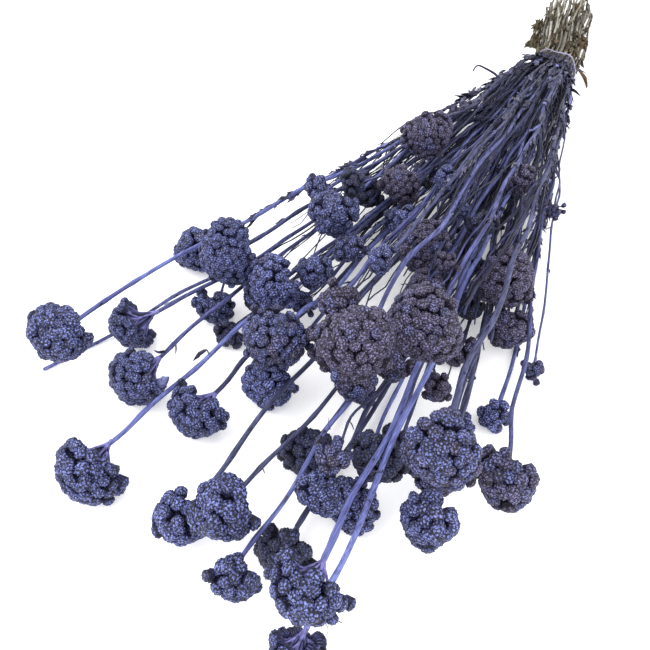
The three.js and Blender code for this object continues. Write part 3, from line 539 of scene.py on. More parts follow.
def x_of(tree, place):
    return add_node(tree, "ShaderNodeSeparateXYZ", {"Vector": place}).outputs["X"]


def dyed_share(tree, place):
    """0 on the undyed cut ends, 1 on the dyed part, with an uneven edge between."""
    waver = calculate(tree, "SUBTRACT", noise(tree, place, *DYE_NOISE), 0.5)
    uneven = calculate(tree, "MULTIPLY", waver, DYE_WAVER)
    return range_of(tree, calculate(tree, "ADD", x_of(tree, place), uneven), *DYE_EDGE)


def multiplied(tree, colour, share):
    return mix_colours(tree, 1.0, colour, share, "MULTIPLY")


def shaded(tree, colour):
    """The colour, darker where the part's own shade says so."""
    shade = calculate(tree, "MULTIPLY", own_value(tree, "shade"), PLANT_SHADE)
    grey = add_node(tree, "ShaderNodeCombineXYZ", {"X": shade, "Y": shade, "Z": shade}).outputs["Vector"]
    return multiplied(tree, colour, grey)


def stem_finish():
    """Dry ribbed stem: violet to slate with paler streaks, partly grain and partly painted highlight, grey
    straw beyond the band.
    """
    material, tree, shader = new_finish("dyed_stem")
    place = object_place(tree)
    tone = own_value(tree, "tone")
    stretched = add_node(tree, "ShaderNodeMapping", {"Vector": place, "Scale": STREAK_SCALE})
    streaks = add_node(tree, "ShaderNodeTexNoise", {
        "Vector": stretched.outputs["Vector"], "Scale": 1.0, "Detail": 4.0, "Roughness": 0.6,
    }).outputs["Fac"]
    # Pale streaks: the stem's grain and a painted highlight.
    streak_and_highlight_share = range_of(tree, streaks, 0.34, 0.66)
    patch_share = range_of(tree, noise(tree, place, *PATCH_NOISE), 0.36, 0.66)
    slate, violet, lilac, straw, olive = (
        mix_colours(tree, streak_and_highlight_share, *colours)
        for colours in (STEM_SLATE, STEM_VIOLET, STEM_LILAC, STEM_STRAW, STEM_OLIVE)
    )
    dyed = mix_colours(tree, range_of(tree, tone, *SLATE_TO_VIOLET), slate, violet)
    dyed = mix_colours(tree, range_of(tree, tone, *VIOLET_TO_LILAC), dyed, lilac)
    dyed = multiplied(tree, dyed, mix_colours(tree, patch_share, UNTOUCHED, WORN))
    from_band = range_of(tree, x_of(tree, place), band_high.x, band_high.x + DULL_REACH)
    dyed = multiplied(tree, dyed, mix_colours(tree, from_band, DULL, UNTOUCHED))
    undyed = mix_colours(tree, calculate(tree, "MULTIPLY", patch_share, 0.5), straw, olive)
    undyed = mix_colours(tree, range_of(tree, tone, *STRAW_TO_OLIVE, 0, 0.5), undyed, olive)
    each = calculate(tree, "FRACT", calculate(tree, "MULTIPLY", tone, 7.0))
    undyed = multiplied(tree, undyed, mix_colours(tree, each, *STEM_AGES))
    set_inputs(tree, shader, {
        "Base Color": shaded(tree, mix_colours(tree, dyed_share(tree, place), undyed, dyed)),
        "Roughness": range_of(tree, streaks, 0.3, 0.7, 0.62, 0.45),
        "Specular IOR Level": 0.3,
        "Normal": bump_from(tree, streaks, strength=0.6, distance=0.0004),
    })
    return material


finishes = {"stem": stem_finish()}

# The flower clusters. From a few to over a hundred buttons, each a ribbed cup with a dome of tiny
# florets, stand side by side on short stalks that part from the stem like the ribs of an umbrella.
BUTTON_PITCH = 0.0061
BUTTON_WIDE = 1.27            # of the pitch
BUTTON_LONG = 1.35            # of the pitch
FLORET_RINGS = 2              # rings of florets round the middle one of a button
FLORET_RISE = 0.08            # how far a floret's middle stands out, of half the button's width
FLORET_RISES = (0.4, 1.5)     # how florets differ in that
FLORET_TIPS = (0.35, 1.4)     # how they differ in brightness
FLORET_DIP = 0.05             # how deep the gaps between them are
FLORET_JITTER = 0.03          # radians
TWO_LOBES = 0.05              # how far a button is from round
THREE_LOBES = 0.04
DOME_FOOT = 0.66              # height of the dome's rim, of the button's length
DOME_LEAN = math.radians(84)
CUP_LEVELS = ((0.22, 0.84),)   # height and radius of the cup under the dome
CUP_RIBS = 0.09               # how deep every second corner of the cup lies, of its radius
CUP_UNEVEN = (0.97, 1.03)
CUP_RIB_TIP = 0.5             # how bright its ribs are, of the florets' tips
CORE_RIB_TIP = 0.4            # and those of the mass of short stalks inside the cluster
BUTTON_KINDS = 10
STRAGGLE = 0.0005             # how unevenly high the buttons stand
CAP_LUMPS = 0.0013            # how far parts of a cluster stand out as a whole
BUTTON_TILT = 0.10            # radians
CAP_WRAP = 1.22               # buttons sit beyond the cap's rim, round its underside
RIM_LEAN = 0.85               # radians from the cap's middle, beyond which single buttons may stand off
STAND_OFF = (0.0012, 0.0032)  # how far those stand off
STAND_OFF_SHARE = 0.12        # how many of the buttons there do
STAND_OFF_SIZE = 0.85         # their size, of the others'
RIM_TUCK = 0.25               # how far buttons under the rim sit inwards, a radian
TWIG_GROUP = 6                # buttons on one twig
TWIG_RADIUS = 0.0009
TWIG_TAPER = (1.3, 0.8)
TWIG_ROOT = 0.003             # twigs part from the last stretch of the stem
TWIG_KNEE = 0.45              # where peduncles part from a twig, of the way to their buttons
PEDUNCLE_RADIUS = 0.00055
PEDUNCLE_TAPER = (1.1, 0.9, 1.0, 1.9)   # it widens into the button's foot
PEDUNCLE_PULL = 0.35          # how far a peduncle first follows its twig, of the twig
PEDUNCLE_SIDES = 5
PEDUNCLE_DEPTH = 0.8
FOOT_DEPTH = 0.0008           # how far a peduncle goes into its button
CORE_SIDES = 20
CORE_RINGS = 7
CORE_SPAN = (0.15, 0.94)      # first and last ring, of the way from the cap's middle to its rim
CORE_UNEVEN = 0.0003
CORE_GRAIN = 300              # own places of the core, of its places in metres
CORE_LEVEL = 0.36             # how high the mass of short stalks reaches between the buttons, of their
                              # length
CORE_RIBS = 0.10
CORE_WAIST = ((0.18, 0.74), (0.42, 0.42), (0.75, 0.2))   # way to the stem and width there
BROWN_STALKS = stalks(20, 21, 22, 23, 24, 26, 28, 29, 37, 38, 39, 49)
HALF_BROWN_STALKS = stalks(18, 19, 31, 34, 40, 46)
# Clusters that lie under others are painted darker, a painted shadow; a few others are painted brighter,
# painted light.
SHADOWED_STALKS = stalks(10, 13, 16, 27, 35, 47, 48, 52, 53)
LIT_STALKS = stalks(7, 31, 36, 41)
FINE_STALKS = stalks(22, 24, 26, 28, 29, 30, 34, 39)
COARSE_STALKS = stalks(1, 6, 8)
BLUE_TONE = 0.2
HALF_BROWN_TONE = 0.5
BROWN_TONE = 0.85
TONE_SPREAD = 0.1             # between clusters
TINT_SPREAD = 0.16            # between the buttons of a cluster
BUTTON_SHADES = (0.72, 1.12)  # how buttons differ in brightness
# Painted shadow and painted light on whole clusters, as factors on their colours.
SHADOWED_CLUSTER_SHADE = 0.4
LIT_CLUSTER_SHADE = 1.2
FINE_PITCH = 0.86             # buttons of the fine and the coarse clusters, of the usual pitch
COARSE_PITCH = 1.18
CLUSTER_PITCHES = (0.92, 1.04)     # how the clusters' pitches differ
MOST_PITCH = 0.24             # greatest pitch in a small cluster, of its width
BUTTON_SIZES = (0.86, 1.1)    # how the buttons of a cluster differ in size
BUTTON_LENGTHS = (0.92, 1.08)
BUTTON_SQUASH = (0.92, 1.08)
# The florets' colour towards each button's crown, the second of each pair, is a painted highlight.
BUTTON_BLUE = ((0.073, 0.082, 0.25), (0.29, 0.34, 0.84))     # of the florets, from rim to crown
BUTTON_BROWN = ((0.094, 0.079, 0.16), (0.29, 0.26, 0.50))
# Painted shade: near-black between the florets, between the ribs of the cups and on the core between the
# buttons.
FLORET_GAP_SHADE = ((0.006, 0.006, 0.020), (0.009, 0.005, 0.011))   # between florets, of blue and brown ones
CUP_RIB_COLOURS = ((0.12, 0.13, 0.38), (0.10, 0.075, 0.15))    # of blue and brown buttons
CUP_GAP_SHADE = (0.008, 0.007, 0.020)
LAVENDER = ((0.09, 0.08, 0.26), (0.26, 0.25, 0.62))          # of the short stalks, mottled
BROWN_LAVENDER = (0.10, 0.075, 0.18)
BLUE_TO_BROWN = (0.35, 0.8)   # tones over which a button's colour changes
RIM_TO_HIGHLIGHT = (0.68, 0.98)   # heights over which it turns paler, of the button's length
CUP_TO_DOME = (0.40, 0.60)
FLORET_NOISE = (7.0, 4.0)     # scale and detail, in the buttons' own places
PEDUNCLE_NOISE = (300.0, 3.0)
MOST_NOISE = (0.35, 0.65)     # where most of a noise lies between 0 and 1
OWN_STRETCH = (1, 1, 1.4)     # of a button's own places, for its grain
OWN_SPREAD = 50.0
ROW_RISE = math.sqrt(0.75)    # from row to row of an even net, of its pitch
NET_SHIFT = 0.4               # how far a cluster's net of buttons is off its middle, of the pitch
NET_JITTER = 0.08             # how far each button is off the net
NET_REACH = 0.97              # none beyond this, of the way round the whole sphere


def floret_net():
    """A flat honeycomb of florets: middles, then corners, the faces and the outer corners in order."""
    middles = [
        (across + along / 2, along * ROW_RISE)
        for across in range(-FLORET_RINGS, FLORET_RINGS + 1)
        for along in range(-FLORET_RINGS, FLORET_RINGS + 1)
        if abs(across + along) <= FLORET_RINGS
    ]
    corners = {}
    uses = {}
    faces = []
    for middle, (x, y) in enumerate(middles):
        round_it = []
        for k in range(6):
            turn = math.radians(30 + 60 * k)
            corner_x = x + math.cos(turn) / math.sqrt(3)
            corner_y = y + math.sin(turn) / math.sqrt(3)
            place = (round(corner_x, 4), round(corner_y, 4))
            corner = corners.setdefault(place, len(middles) + len(corners))
            uses[corner] = uses.get(corner, 0) + 1
            round_it.append(corner)
        faces += [(middle, round_it[k], round_it[(k + 1) % 6]) for k in range(6)]
    places = np.array(middles + list(corners))
    outer = sorted(
        (corner for corner in corners.values() if uses[corner] < 3),
        key=lambda corner: math.atan2(places[corner][1], places[corner][0]),
    )
    return places, len(middles), np.array(faces), outer


net_places, floret_count, net_faces, net_rim = floret_net()
net_turns = np.arctan2(net_places[:, 1], net_places[:, 0])
net_reach = np.max([
    np.abs(net_places @ (math.cos(turn), math.sin(turn))) for turn in np.radians((30, 90, 150))
], axis=0) / ROW_RISE
net_reach = np.minimum(net_reach / (FLORET_RINGS + 0.5), 1)
net_reach[net_rim] = 1


def button_kind():
    """The corners of one kind of button, on its axis +Z, with a length and a half-width of 1."""
    lobes = 1 + TWO_LOBES * np.sin(2 * net_turns + draws.uniform(0, 6))
    lobes = lobes + THREE_LOBES * np.sin(3 * net_turns + draws.uniform(0, 6))
    lean = net_reach * DOME_LEAN + draws.normal(0, FLORET_JITTER, len(net_places)) * (net_reach < 1)
    lift = np.full(len(net_places), -FLORET_DIP)
    lift[:floret_count] = FLORET_RISE * draws.uniform(*FLORET_RISES, floret_count)
    out = np.sin(lean) * lobes * (1 + lift)
    height = DOME_FOOT + (1 - DOME_FOOT) * np.cos(lean) * (1 + lift)
    turns = net_turns + draws.normal(0, FLORET_JITTER, len(net_places)) * (net_reach < 1)
    dome = np.stack([np.cos(turns) * out, np.sin(turns) * out, height], axis=1)
    levels = []
    ribs = np.arange(len(net_rim)) % 2
    for level, radius in CUP_LEVELS:
        uneven = draws.uniform(*CUP_UNEVEN, len(net_rim))
        out = radius * lobes[net_rim] * (1 - CUP_RIBS * ribs) * uneven
        rim_turns = net_turns[net_rim]
        ring = [np.cos(rim_turns) * out, np.sin(rim_turns) * out, np.full(len(out), level)]
        levels.append(np.stack(ring, axis=1))
    return np.vstack([dome, *levels, (0, 0, 0)])


def button_faces_and_tips():
    """The faces of a button, and how bright its corners are: its florets' tips, then its cup's ribs."""
    count = len(net_places)
    rim = len(net_rim)
    here = np.arange(rim)
    beside = (here + 1) % rim
    loops = [np.array(net_rim)] + [count + level * rim + here for level in range(len(CUP_LEVELS))]
    faces = [net_faces]
    for upper, lower in zip(loops, loops[1:]):
        faces.append(np.stack([lower[here], lower[beside], upper[beside], upper[here]], axis=-1))
    foot = np.full(rim, count + rim * len(CUP_LEVELS))
    faces.append(np.stack([foot, loops[-1][beside], loops[-1][here]], axis=-1))
    tips = np.zeros(foot[0] + 1)
    tips[:floret_count] = draws.uniform(*FLORET_TIPS, floret_count)
    tips[count:-1] = np.tile(CUP_RIB_TIP * (1 - here % 2), len(CUP_LEVELS))
    return faces, tips


button_kinds = [button_kind() for _ in range(BUTTON_KINDS)]
button_faces, button_tips = button_faces_and_tips()


def add_button(node, base, axis, wide, long, tone, shade):
    """One button whose foot is at base and which looks along axis."""
    helper = np.array((0, 0, 1) if abs(axis[2]) < 0.9 else (1, 0, 0))
    side = unit(np.cross(helper, axis))
    spin = draws.uniform(0, 2 * math.pi)
    first = side * math.cos(spin) + np.cross(axis, side) * math.sin(spin)
    second = np.cross(axis, first)
    kind = button_kinds[draws.integers(BUTTON_KINDS)]
    squash = draws.uniform(*BUTTON_SQUASH)
    corners = (
        base + np.outer(kind[:, 0] * wide / 2 * squash, first)
        + np.outer(kind[:, 1] * wide / 2 / squash, second) + np.outer(kind[:, 2] * long, axis)
    )
    corners[:, 2] += max(0.0, TABLE_GAP - corners[:, 2].min())
    own = kind * OWN_STRETCH + draws.uniform(-OWN_SPREAD, OWN_SPREAD, 3)
    grow(node, corners, button_faces, "button", tone, np.clip(kind[:, 2], 0, 1), own, button_tips, shade)


def curve_between(start, pull, end, count):
    """Points on a curve that leaves start towards pull and comes to end."""
    t = np.linspace(0, 1, count)[:, None]
    return (1 - t) ** 2 * start + 2 * t * (1 - t) * pull + t**2 * end


def cap_places(cap, pitch):
    """Directions on a cap for its buttons: an even net, jittered, within the cap's outline."""
    turns = np.array([turn for turn, _ in cap["outline"]])
    leans = np.array([CAP_WRAP * min(lean, math.pi / 2) for _, lean in cap["outline"]])
    rows = int(cap["radius"] * 2 / pitch) + 2
    shift = draws.uniform(-NET_SHIFT, NET_SHIFT, 2)
    places = []
    for row in range(-rows, rows + 1):
        for place in range(-2 * rows, 2 * rows + 1):
            jitter = draws.normal(0, NET_JITTER, 2)
            u = (place + row / 2 + shift[0] + jitter[0]) * pitch
            v = (row * ROW_RISE + shift[1] + jitter[1]) * pitch
            reach = math.hypot(u, v) / (2 * cap["radius"])
            if reach >= NET_REACH:
                continue
            lean = 2 * math.asin(reach)
            turn = math.atan2(v, u)
            limit = np.interp(turn, turns, leans, period=2 * math.pi)
            if lean < limit or reach * cap["radius"] < pitch / 4:
                places.append((lean, turn))
    return places


def add_core(node, cap, long, tone, shade):
    """The dense mass of short stalks inside a cluster, ribbed where it narrows to the stem."""
    turns = np.arange(CORE_SIDES) * 2 * math.pi / CORE_SIDES
    outward = np.outer(np.cos(turns), cap["across"]) + np.outer(np.sin(turns), cap["up"])
    limits = np.interp(turns, *zip(*cap["outline"]), period=2 * math.pi)
    radius = cap["wide"] / 2 - (1 - CORE_LEVEL) * long
    ribs = 1 - CORE_RIBS * (np.arange(CORE_SIDES) % 2)
    rings = []
    tips = [0.0]
    for share in np.linspace(*CORE_SPAN, CORE_RINGS):
        lean = (limits * share)[:, None]
        rings.append(cap["centre"] + (cap["aim"] * np.cos(lean) + outward * np.sin(lean)) * radius)
        tips.extend(np.zeros(CORE_SIDES))
    rim = rings[-1]
    for share, width in CORE_WAIST:
        middle = rim.mean(axis=0) * (1 - share) + cap["end"] * share
        rings.append(middle + (rim - rim.mean(axis=0)) * width * ribs[:, None])
        tips.extend(CORE_RIB_TIP * (1 - np.arange(CORE_SIDES) % 2))
    corners = np.vstack([cap["centre"] + cap["aim"] * radius, *rings, cap["end"]])
    corners[1:] += draws.normal(0, CORE_UNEVEN, (len(corners) - 1, 3))
    count = len(rings) * CORE_SIDES
    faces = [
        fan_faces(1, CORE_SIDES, 0, True)[:, ::-1],
        ring_faces(len(rings), CORE_SIDES, 1)[:, ::-1],
        fan_faces(1 + count - CORE_SIDES, CORE_SIDES, 1 + count, True),
    ]
    # With depth 0 and no tips the core takes the near-black of the cups' gaps: painted shade between the
    # buttons.
    grow(node, corners, faces, "button", tone, 0.0, corners * CORE_GRAIN, np.array(tips + [0.0]), shade)


def add_cluster(node, cap, pitch, tone, shade):
    """All the buttons of a cap, and the twigs and peduncles that carry them."""
    add_core(node, cap, BUTTON_LONG * pitch, tone, shade)
    feet = []
    phases = draws.uniform(0, 2 * math.pi, 2)
    for lean, turn in cap_places(cap, pitch):
        outward = cap["across"] * math.cos(turn) + cap["up"] * math.sin(turn)
        axis = cap["aim"] * math.cos(lean) + outward * math.sin(lean)
        axis = axis + cap["aim"] * max(0.0, lean - math.pi / 2)
        axis = unit(axis + draws.normal(0, BUTTON_TILT, 3))
        size = draws.uniform(*BUTTON_SIZES)
        long = BUTTON_LONG * pitch * size * draws.uniform(*BUTTON_LENGTHS)
        waves = math.sin(2 * turn + phases[0]) + math.sin(3 * turn + phases[1])
        lumps = CAP_LUMPS * math.sin(lean) * waves
        stand = cap["wide"] / 2 + lumps + draws.normal(0, STRAGGLE) - long
        stand *= 1 - RIM_TUCK * max(0.0, lean - math.pi / 2)
        if lean > RIM_LEAN and draws.uniform() < STAND_OFF_SHARE:
            stand += draws.uniform(*STAND_OFF)
            size *= STAND_OFF_SIZE
        base = cap["centre"] + (cap["aim"] * math.cos(lean) + outward * math.sin(lean)) * stand
        tint = np.clip(tone + draws.normal(0, TINT_SPREAD), 0, 1)
        dim = shade * draws.uniform(*BUTTON_SHADES)
        add_button(node, base, axis, BUTTON_WIDE * pitch * size, long, tint, dim)
        feet.append((base, axis))
    bases = np.array([base for base, _ in feet])
    twigs = max(1, round(len(feet) / TWIG_GROUP))
    middles = bases[draws.choice(len(bases), twigs, replace=False)]
    for _ in range(3):
        nearest = np.argmin(np.linalg.norm(bases[:, None] - middles[None], axis=2), axis=1)
        middles = np.array([
            bases[nearest == k].mean(axis=0) if np.any(nearest == k) else middles[k] for k in range(twigs)
        ])
    for k in range(twigs):
        fork = cap["end"] - cap["aim"] * draws.uniform(0.0, TWIG_ROOT)
        knee = cap["end"] + (middles[k] - cap["end"]) * TWIG_KNEE
        path = curve_between(fork, fork + cap["aim"] * TWIG_ROOT, knee, 4)
        radii = np.linspace(*TWIG_TAPER, 4) * TWIG_RADIUS
        grow(node, *tube(path, radii, PEDUNCLE_SIDES), "peduncle", tone, PEDUNCLE_DEPTH, shade=shade)
        for (base, axis), twig in zip(feet, nearest):
            if twig == k:
                pull = knee + (knee - fork) * PEDUNCLE_PULL
                path = curve_between(knee, pull, base + axis * FOOT_DEPTH, 4)
                peduncle = tube(path, np.array(PEDUNCLE_TAPER) * PEDUNCLE_RADIUS, PEDUNCLE_SIDES)
                grow(node, *peduncle, "peduncle", tone, PEDUNCLE_DEPTH, shade=shade)


for node, chains in chains_of.items():
    brown = BROWN_TONE if node in BROWN_STALKS else BLUE_TONE
    if node in HALF_BROWN_STALKS:
        brown = HALF_BROWN_TONE
    # Painted shadow on the clusters under others, painted light on a few others.
    shade = SHADOWED_CLUSTER_SHADE if node in SHADOWED_STALKS else 1.0
    if node in LIT_STALKS:
        shade = LIT_CLUSTER_SHADE
    pitch = BUTTON_PITCH * draws.uniform(*CLUSTER_PITCHES)
    if node in FINE_STALKS:
        pitch *= FINE_PITCH
    if node in COARSE_STALKS:
        pitch *= COARSE_PITCH
    for chain in chains:
        if chain["cap"]:
            cap_pitch = min(pitch, chain["cap"]["wide"] * MOST_PITCH)
            tone = np.clip(draws.normal(brown, TONE_SPREAD), 0, 1)
            add_cluster(node, chain["cap"], cap_pitch, tone, shade)


def button_finish():
    """Dry florets: painted shade between, blue or brown violet on their tips, a painted highlight palest on
    the crown.
    """
    material, tree, shader = new_finish("dyed_button")
    depth = own_value(tree, "depth")
    tip = own_value(tree, "tip")
    own = own_value(tree, "own", "Vector")
    cells = add_node(tree, "ShaderNodeTexVoronoi", {"Vector": own, "Scale": 3.6}).outputs["Distance"]
    granule = range_of(tree, cells, 0.15, 0.6, 1.0, 0.0)
    brown = range_of(tree, own_value(tree, "tone"), *BLUE_TO_BROWN)
    # Painted highlight: the florets turn paler towards each button's crown.
    crown = range_of(tree, depth, *RIM_TO_HIGHLIGHT)
    blue_tip = mix_colours(tree, crown, *BUTTON_BLUE)
    brown_tip = mix_colours(tree, crown, *BUTTON_BROWN)
    tip_share = calculate(tree, "MULTIPLY", tip, 0.45)
    bright = calculate(tree, "ADD", tip_share, calculate(tree, "MULTIPLY", granule, 0.5))
    uneven = calculate(tree, "SUBTRACT", noise(tree, own, *FLORET_NOISE), 0.5)
    bright = range_of(tree, calculate(tree, "ADD", bright, uneven), 0.14, 0.66)
    # Painted shade: the gaps between florets are near-black, and so are the cups' gaps between their ribs.
    gap = mix_colours(tree, brown, *FLORET_GAP_SHADE)
    dome = mix_colours(tree, bright, gap, mix_colours(tree, brown, blue_tip, brown_tip))
    cup_rib = mix_colours(tree, brown, *CUP_RIB_COLOURS)
    cup = mix_colours(tree, range_of(tree, tip, 0.1, 0.45), CUP_GAP_SHADE, cup_rib)
    colour = mix_colours(tree, range_of(tree, depth, *CUP_TO_DOME), cup, dome)
    set_inputs(tree, shader, {
        "Base Color": shaded(tree, colour),
        "Roughness": 0.6,
        "Specular IOR Level": 0.35,
        "Normal": bump_from(tree, granule, strength=0.8, distance=0.0005),
    })
    return material


def peduncle_finish():
    """The short stalks under a cluster, smoother and a brighter lavender than the stems."""
    material, tree, shader = new_finish("dyed_peduncle")
    mottle = noise(tree, object_place(tree), *PEDUNCLE_NOISE)
    lavender = mix_colours(tree, range_of(tree, mottle, *MOST_NOISE), *LAVENDER)
    brown = range_of(tree, own_value(tree, "tone"), 0.5, 1)
    set_inputs(tree, shader, {
        "Base Color": shaded(tree, mix_colours(tree, brown, lavender, BROWN_LAVENDER)),
        "Roughness": 0.55,
        "Normal": bump_from(tree, mottle, strength=0.4, distance=0.0003),
    })
    return material


finishes["button"] = button_finish()
finishes["peduncle"] = peduncle_finish()

# The thin side stems. Dry shoots no thicker than a match part from the stalks and go on between the
# others, so the fan is dense from the band to its middle. Some end in a few small buttons. The shoots
# and their buttons are painted darker, painted shade deep in the fan.
SHOOT_COUNT = 560
SHOOT_FROM = 0.27             # from the band to the farthest foot of a side stem
SHOOT_THINNING = 1.2          # above 1, the feet crowd towards the band
SHOOT_LONG = (0.07, 0.19)
SHOOT_RADIUS = (0.0006, 0.00115)
SHOOT_STEP = 0.0095
SHOOT_SIDES = 4
SHOOT_WAVER = 0.0022
SHOOT_WAVES = (0.05, 0.12)    # length of its waves
SHOOT_UNEVEN = 0.0005
SHOOT_NEIGHBOURS = 9          # a side stem grows towards one of so many nearest stalks
SHOOT_TURN = (0.2, 0.8)       # how far over to that stalk it comes
SHOOT_TONES = (0, 0.85)
# Painted shade: the shoots between the stalks are darker, each by its own amount.
SHOOT_PAINTED_SHADES = (0.14, 0.85)
SHOOT_TAPER = 0.45
SHOOT_TIP = 0.0008
BUD_SHARE = 0.16              # of the shoots end in small buttons
BUD_COUNTS = (2, 6)           # from the first, up to but without the second
BUD_PITCH = 0.0036
BUD_REACH = (0.2, 0.7)        # from the shoot's end to a small button, of the pitch
BUD_LONG = (0.9, 1.2)
BUD_WIDE = (0.85, 1.15)
BUD_NECK = 0.0004             # radius
BUD_TILT = 0.45               # radians
BUD_AIM = (1.0, 0.0, 0.1)
BUD_TONE = 0.5                # of its shoot's tone
BUD_SHADE = 0.7               # of its shoot's shade


def stalk_at(chain, x):
    route = chain["smooth"]
    return np.array([x, np.interp(x, route[:, 0], route[:, 1]), np.interp(x, route[:, 0], route[:, 2])])


def stalks_through(x):
    """The stalks that pass a plane of constant X, and where."""
    return {
        node: stalk_at(chains[0], x) for node, chains in chains_of.items()
        if chains[0]["smooth"][0, 0] < x < chains[0]["smooth"][-1, 0]
    }


def add_buds(node, end, forward, tone, shade):
    """Two to five small buttons at the end of a side stem."""
    for _ in range(draws.integers(*BUD_COUNTS)):
        axis = unit(forward + draws.normal(0, BUD_TILT, 3))
        base = end + axis * BUD_PITCH * draws.uniform(*BUD_REACH)
        long = BUD_PITCH * draws.uniform(*BUD_LONG)
        neck = tube([end, (end + base) / 2, base], np.full(3, BUD_NECK), 4)
        grow(node, *neck, "peduncle", tone, PEDUNCLE_DEPTH, shade=shade)
        add_button(node, base, axis, BUD_PITCH * draws.uniform(*BUD_WIDE), long, tone, shade)


for _ in range(SHOOT_COUNT):
    foot_x = band_high.x + SHOOT_FROM * draws.uniform() ** SHOOT_THINNING
    end_x = foot_x + draws.uniform(*SHOOT_LONG)
    through = stalks_through(end_x)
    node = str(draws.choice(sorted(through)))
    near = sorted(through, key=lambda other: np.linalg.norm(through[other] - through[node]))
    other = near[1 + draws.integers(SHOOT_NEIGHBOURS)]
    share = draws.uniform(*SHOOT_TURN)
    tone = draws.uniform(*SHOOT_TONES)
    # Painted shade deep in the fan, uneven from shoot to shoot.
    shade = draws.uniform(*SHOOT_PAINTED_SHADES)
    at = np.linspace(foot_x, end_x, int((end_x - foot_x) / SHOOT_STEP) + 2)
    t = (at - foot_x) / (end_x - foot_x)
    weight = share * t * t * (3 - 2 * t)
    own_route = np.array([stalk_at(chains_of[node][0], x) for x in at])
    other_route = np.array([stalk_at(chains_of[other][0], x) for x in at])
    route = own_route * (1 - weight)[:, None] + other_route * weight[:, None]
    for axis in (1, 2):
        wave = np.sin(2 * math.pi * at / draws.uniform(*SHOOT_WAVES) + draws.uniform(0, 6))
        route[:, axis] += t * (SHOOT_WAVER * wave + draws.normal(0, SHOOT_UNEVEN, len(at)))
    radius = draws.uniform(*SHOOT_RADIUS) * (1 - SHOOT_TAPER * t)
    route[:, 2] = np.maximum(route[:, 2], radius + TABLE_GAP)
    shoot = tube(route, radius, SHOOT_SIDES, tips=(0, SHOOT_TIP))
    grow(node, *shoot, "stem", tone, shade=shade)
    if draws.uniform() < BUD_SHARE:
        add_buds(node, route[-1], np.array(BUD_AIM), BUD_TONE * tone, BUD_SHADE * shade)

# The dried leaves. Shrivelled grey scraps of leaf cling to the stems on both sides of the band and
# thin out towards the flowers; small withered bracts stand at the joints. Each is a thin blade that
# rolled up and crumpled as it dried.
LEAF_THICK = 0.00035
LEAF_STATIONS = 7
LEAF_ACROSS = 4
LEAF_COUNT = 940
LEAF_REACH = 0.36             # from the band to the last scraps
LEAF_THINNING = 2.1           # above 1, the scraps crowd towards the band
BUTT_SHARE = 0.2              # of the scraps are on the side of the cut ends
BUTT_REACH = 0.13
BUTT_MARGIN = 0.012
LEAF_LONG = (0.010, 0.030)
LEAF_WIDE = (0.0035, 0.0115)
LEAF_CRUMPLE = 0.0009
LEAF_LAYERS = 7               # a scrap sits on one of so many outermost stalks
LAYER_THINNING = 1.5          # above 1, mostly on the outer ones
LEAF_DRIFT = 0.35             # how far it comes aside of its stalk, of its length
LEAF_RISE = 0.13              # how far it rises from it
LEAF_RAGGED = 0.25            # of its half width
LEAF_CURLS = (0.8, 3.6)       # radians
LEAF_TWISTS = (-2.5, 2.5)
LEAF_SHADES = (0.35, 1.3)
BAND_CLEAR = 0.003
BRACT_LONG = (0.0025, 0.007)
BRACT_WIDE = 0.0017
BRACT_SHARE = 0.6             # of the joints have a bract
BRACT_LEANS = (0.15, 0.9)     # from the stem, in radians
BRACT_CURL = 0.8
BRACT_CRUMPLE = 0.0001
BRACT_SHADE = 0.8
BRACT_MARGIN = 0.01           # none so near the flower end
LEAF_DARK = ((0.014, 0.013, 0.028), (0.10, 0.10, 0.17))      # a leaf's colours, each mottled
LEAF_GREY = ((0.035, 0.034, 0.062), (0.21, 0.21, 0.32))
LEAF_PALE = ((0.10, 0.11, 0.26), (0.27, 0.29, 0.58))
LEAF_OLIVE = ((0.026, 0.022, 0.013), (0.17, 0.145, 0.085))
LEAF_BROWN = ((0.018, 0.010, 0.006), (0.17, 0.115, 0.07))
LEAF_NOISE = (420.0, 5.0)     # scale and detail
DARK_TO_GREY = (0.3, 0.6)     # tones over which a leaf's colour changes
GREY_TO_PALE = (0.88, 0.96)
OLIVE_TO_BROWN = (0.4, 0.6)


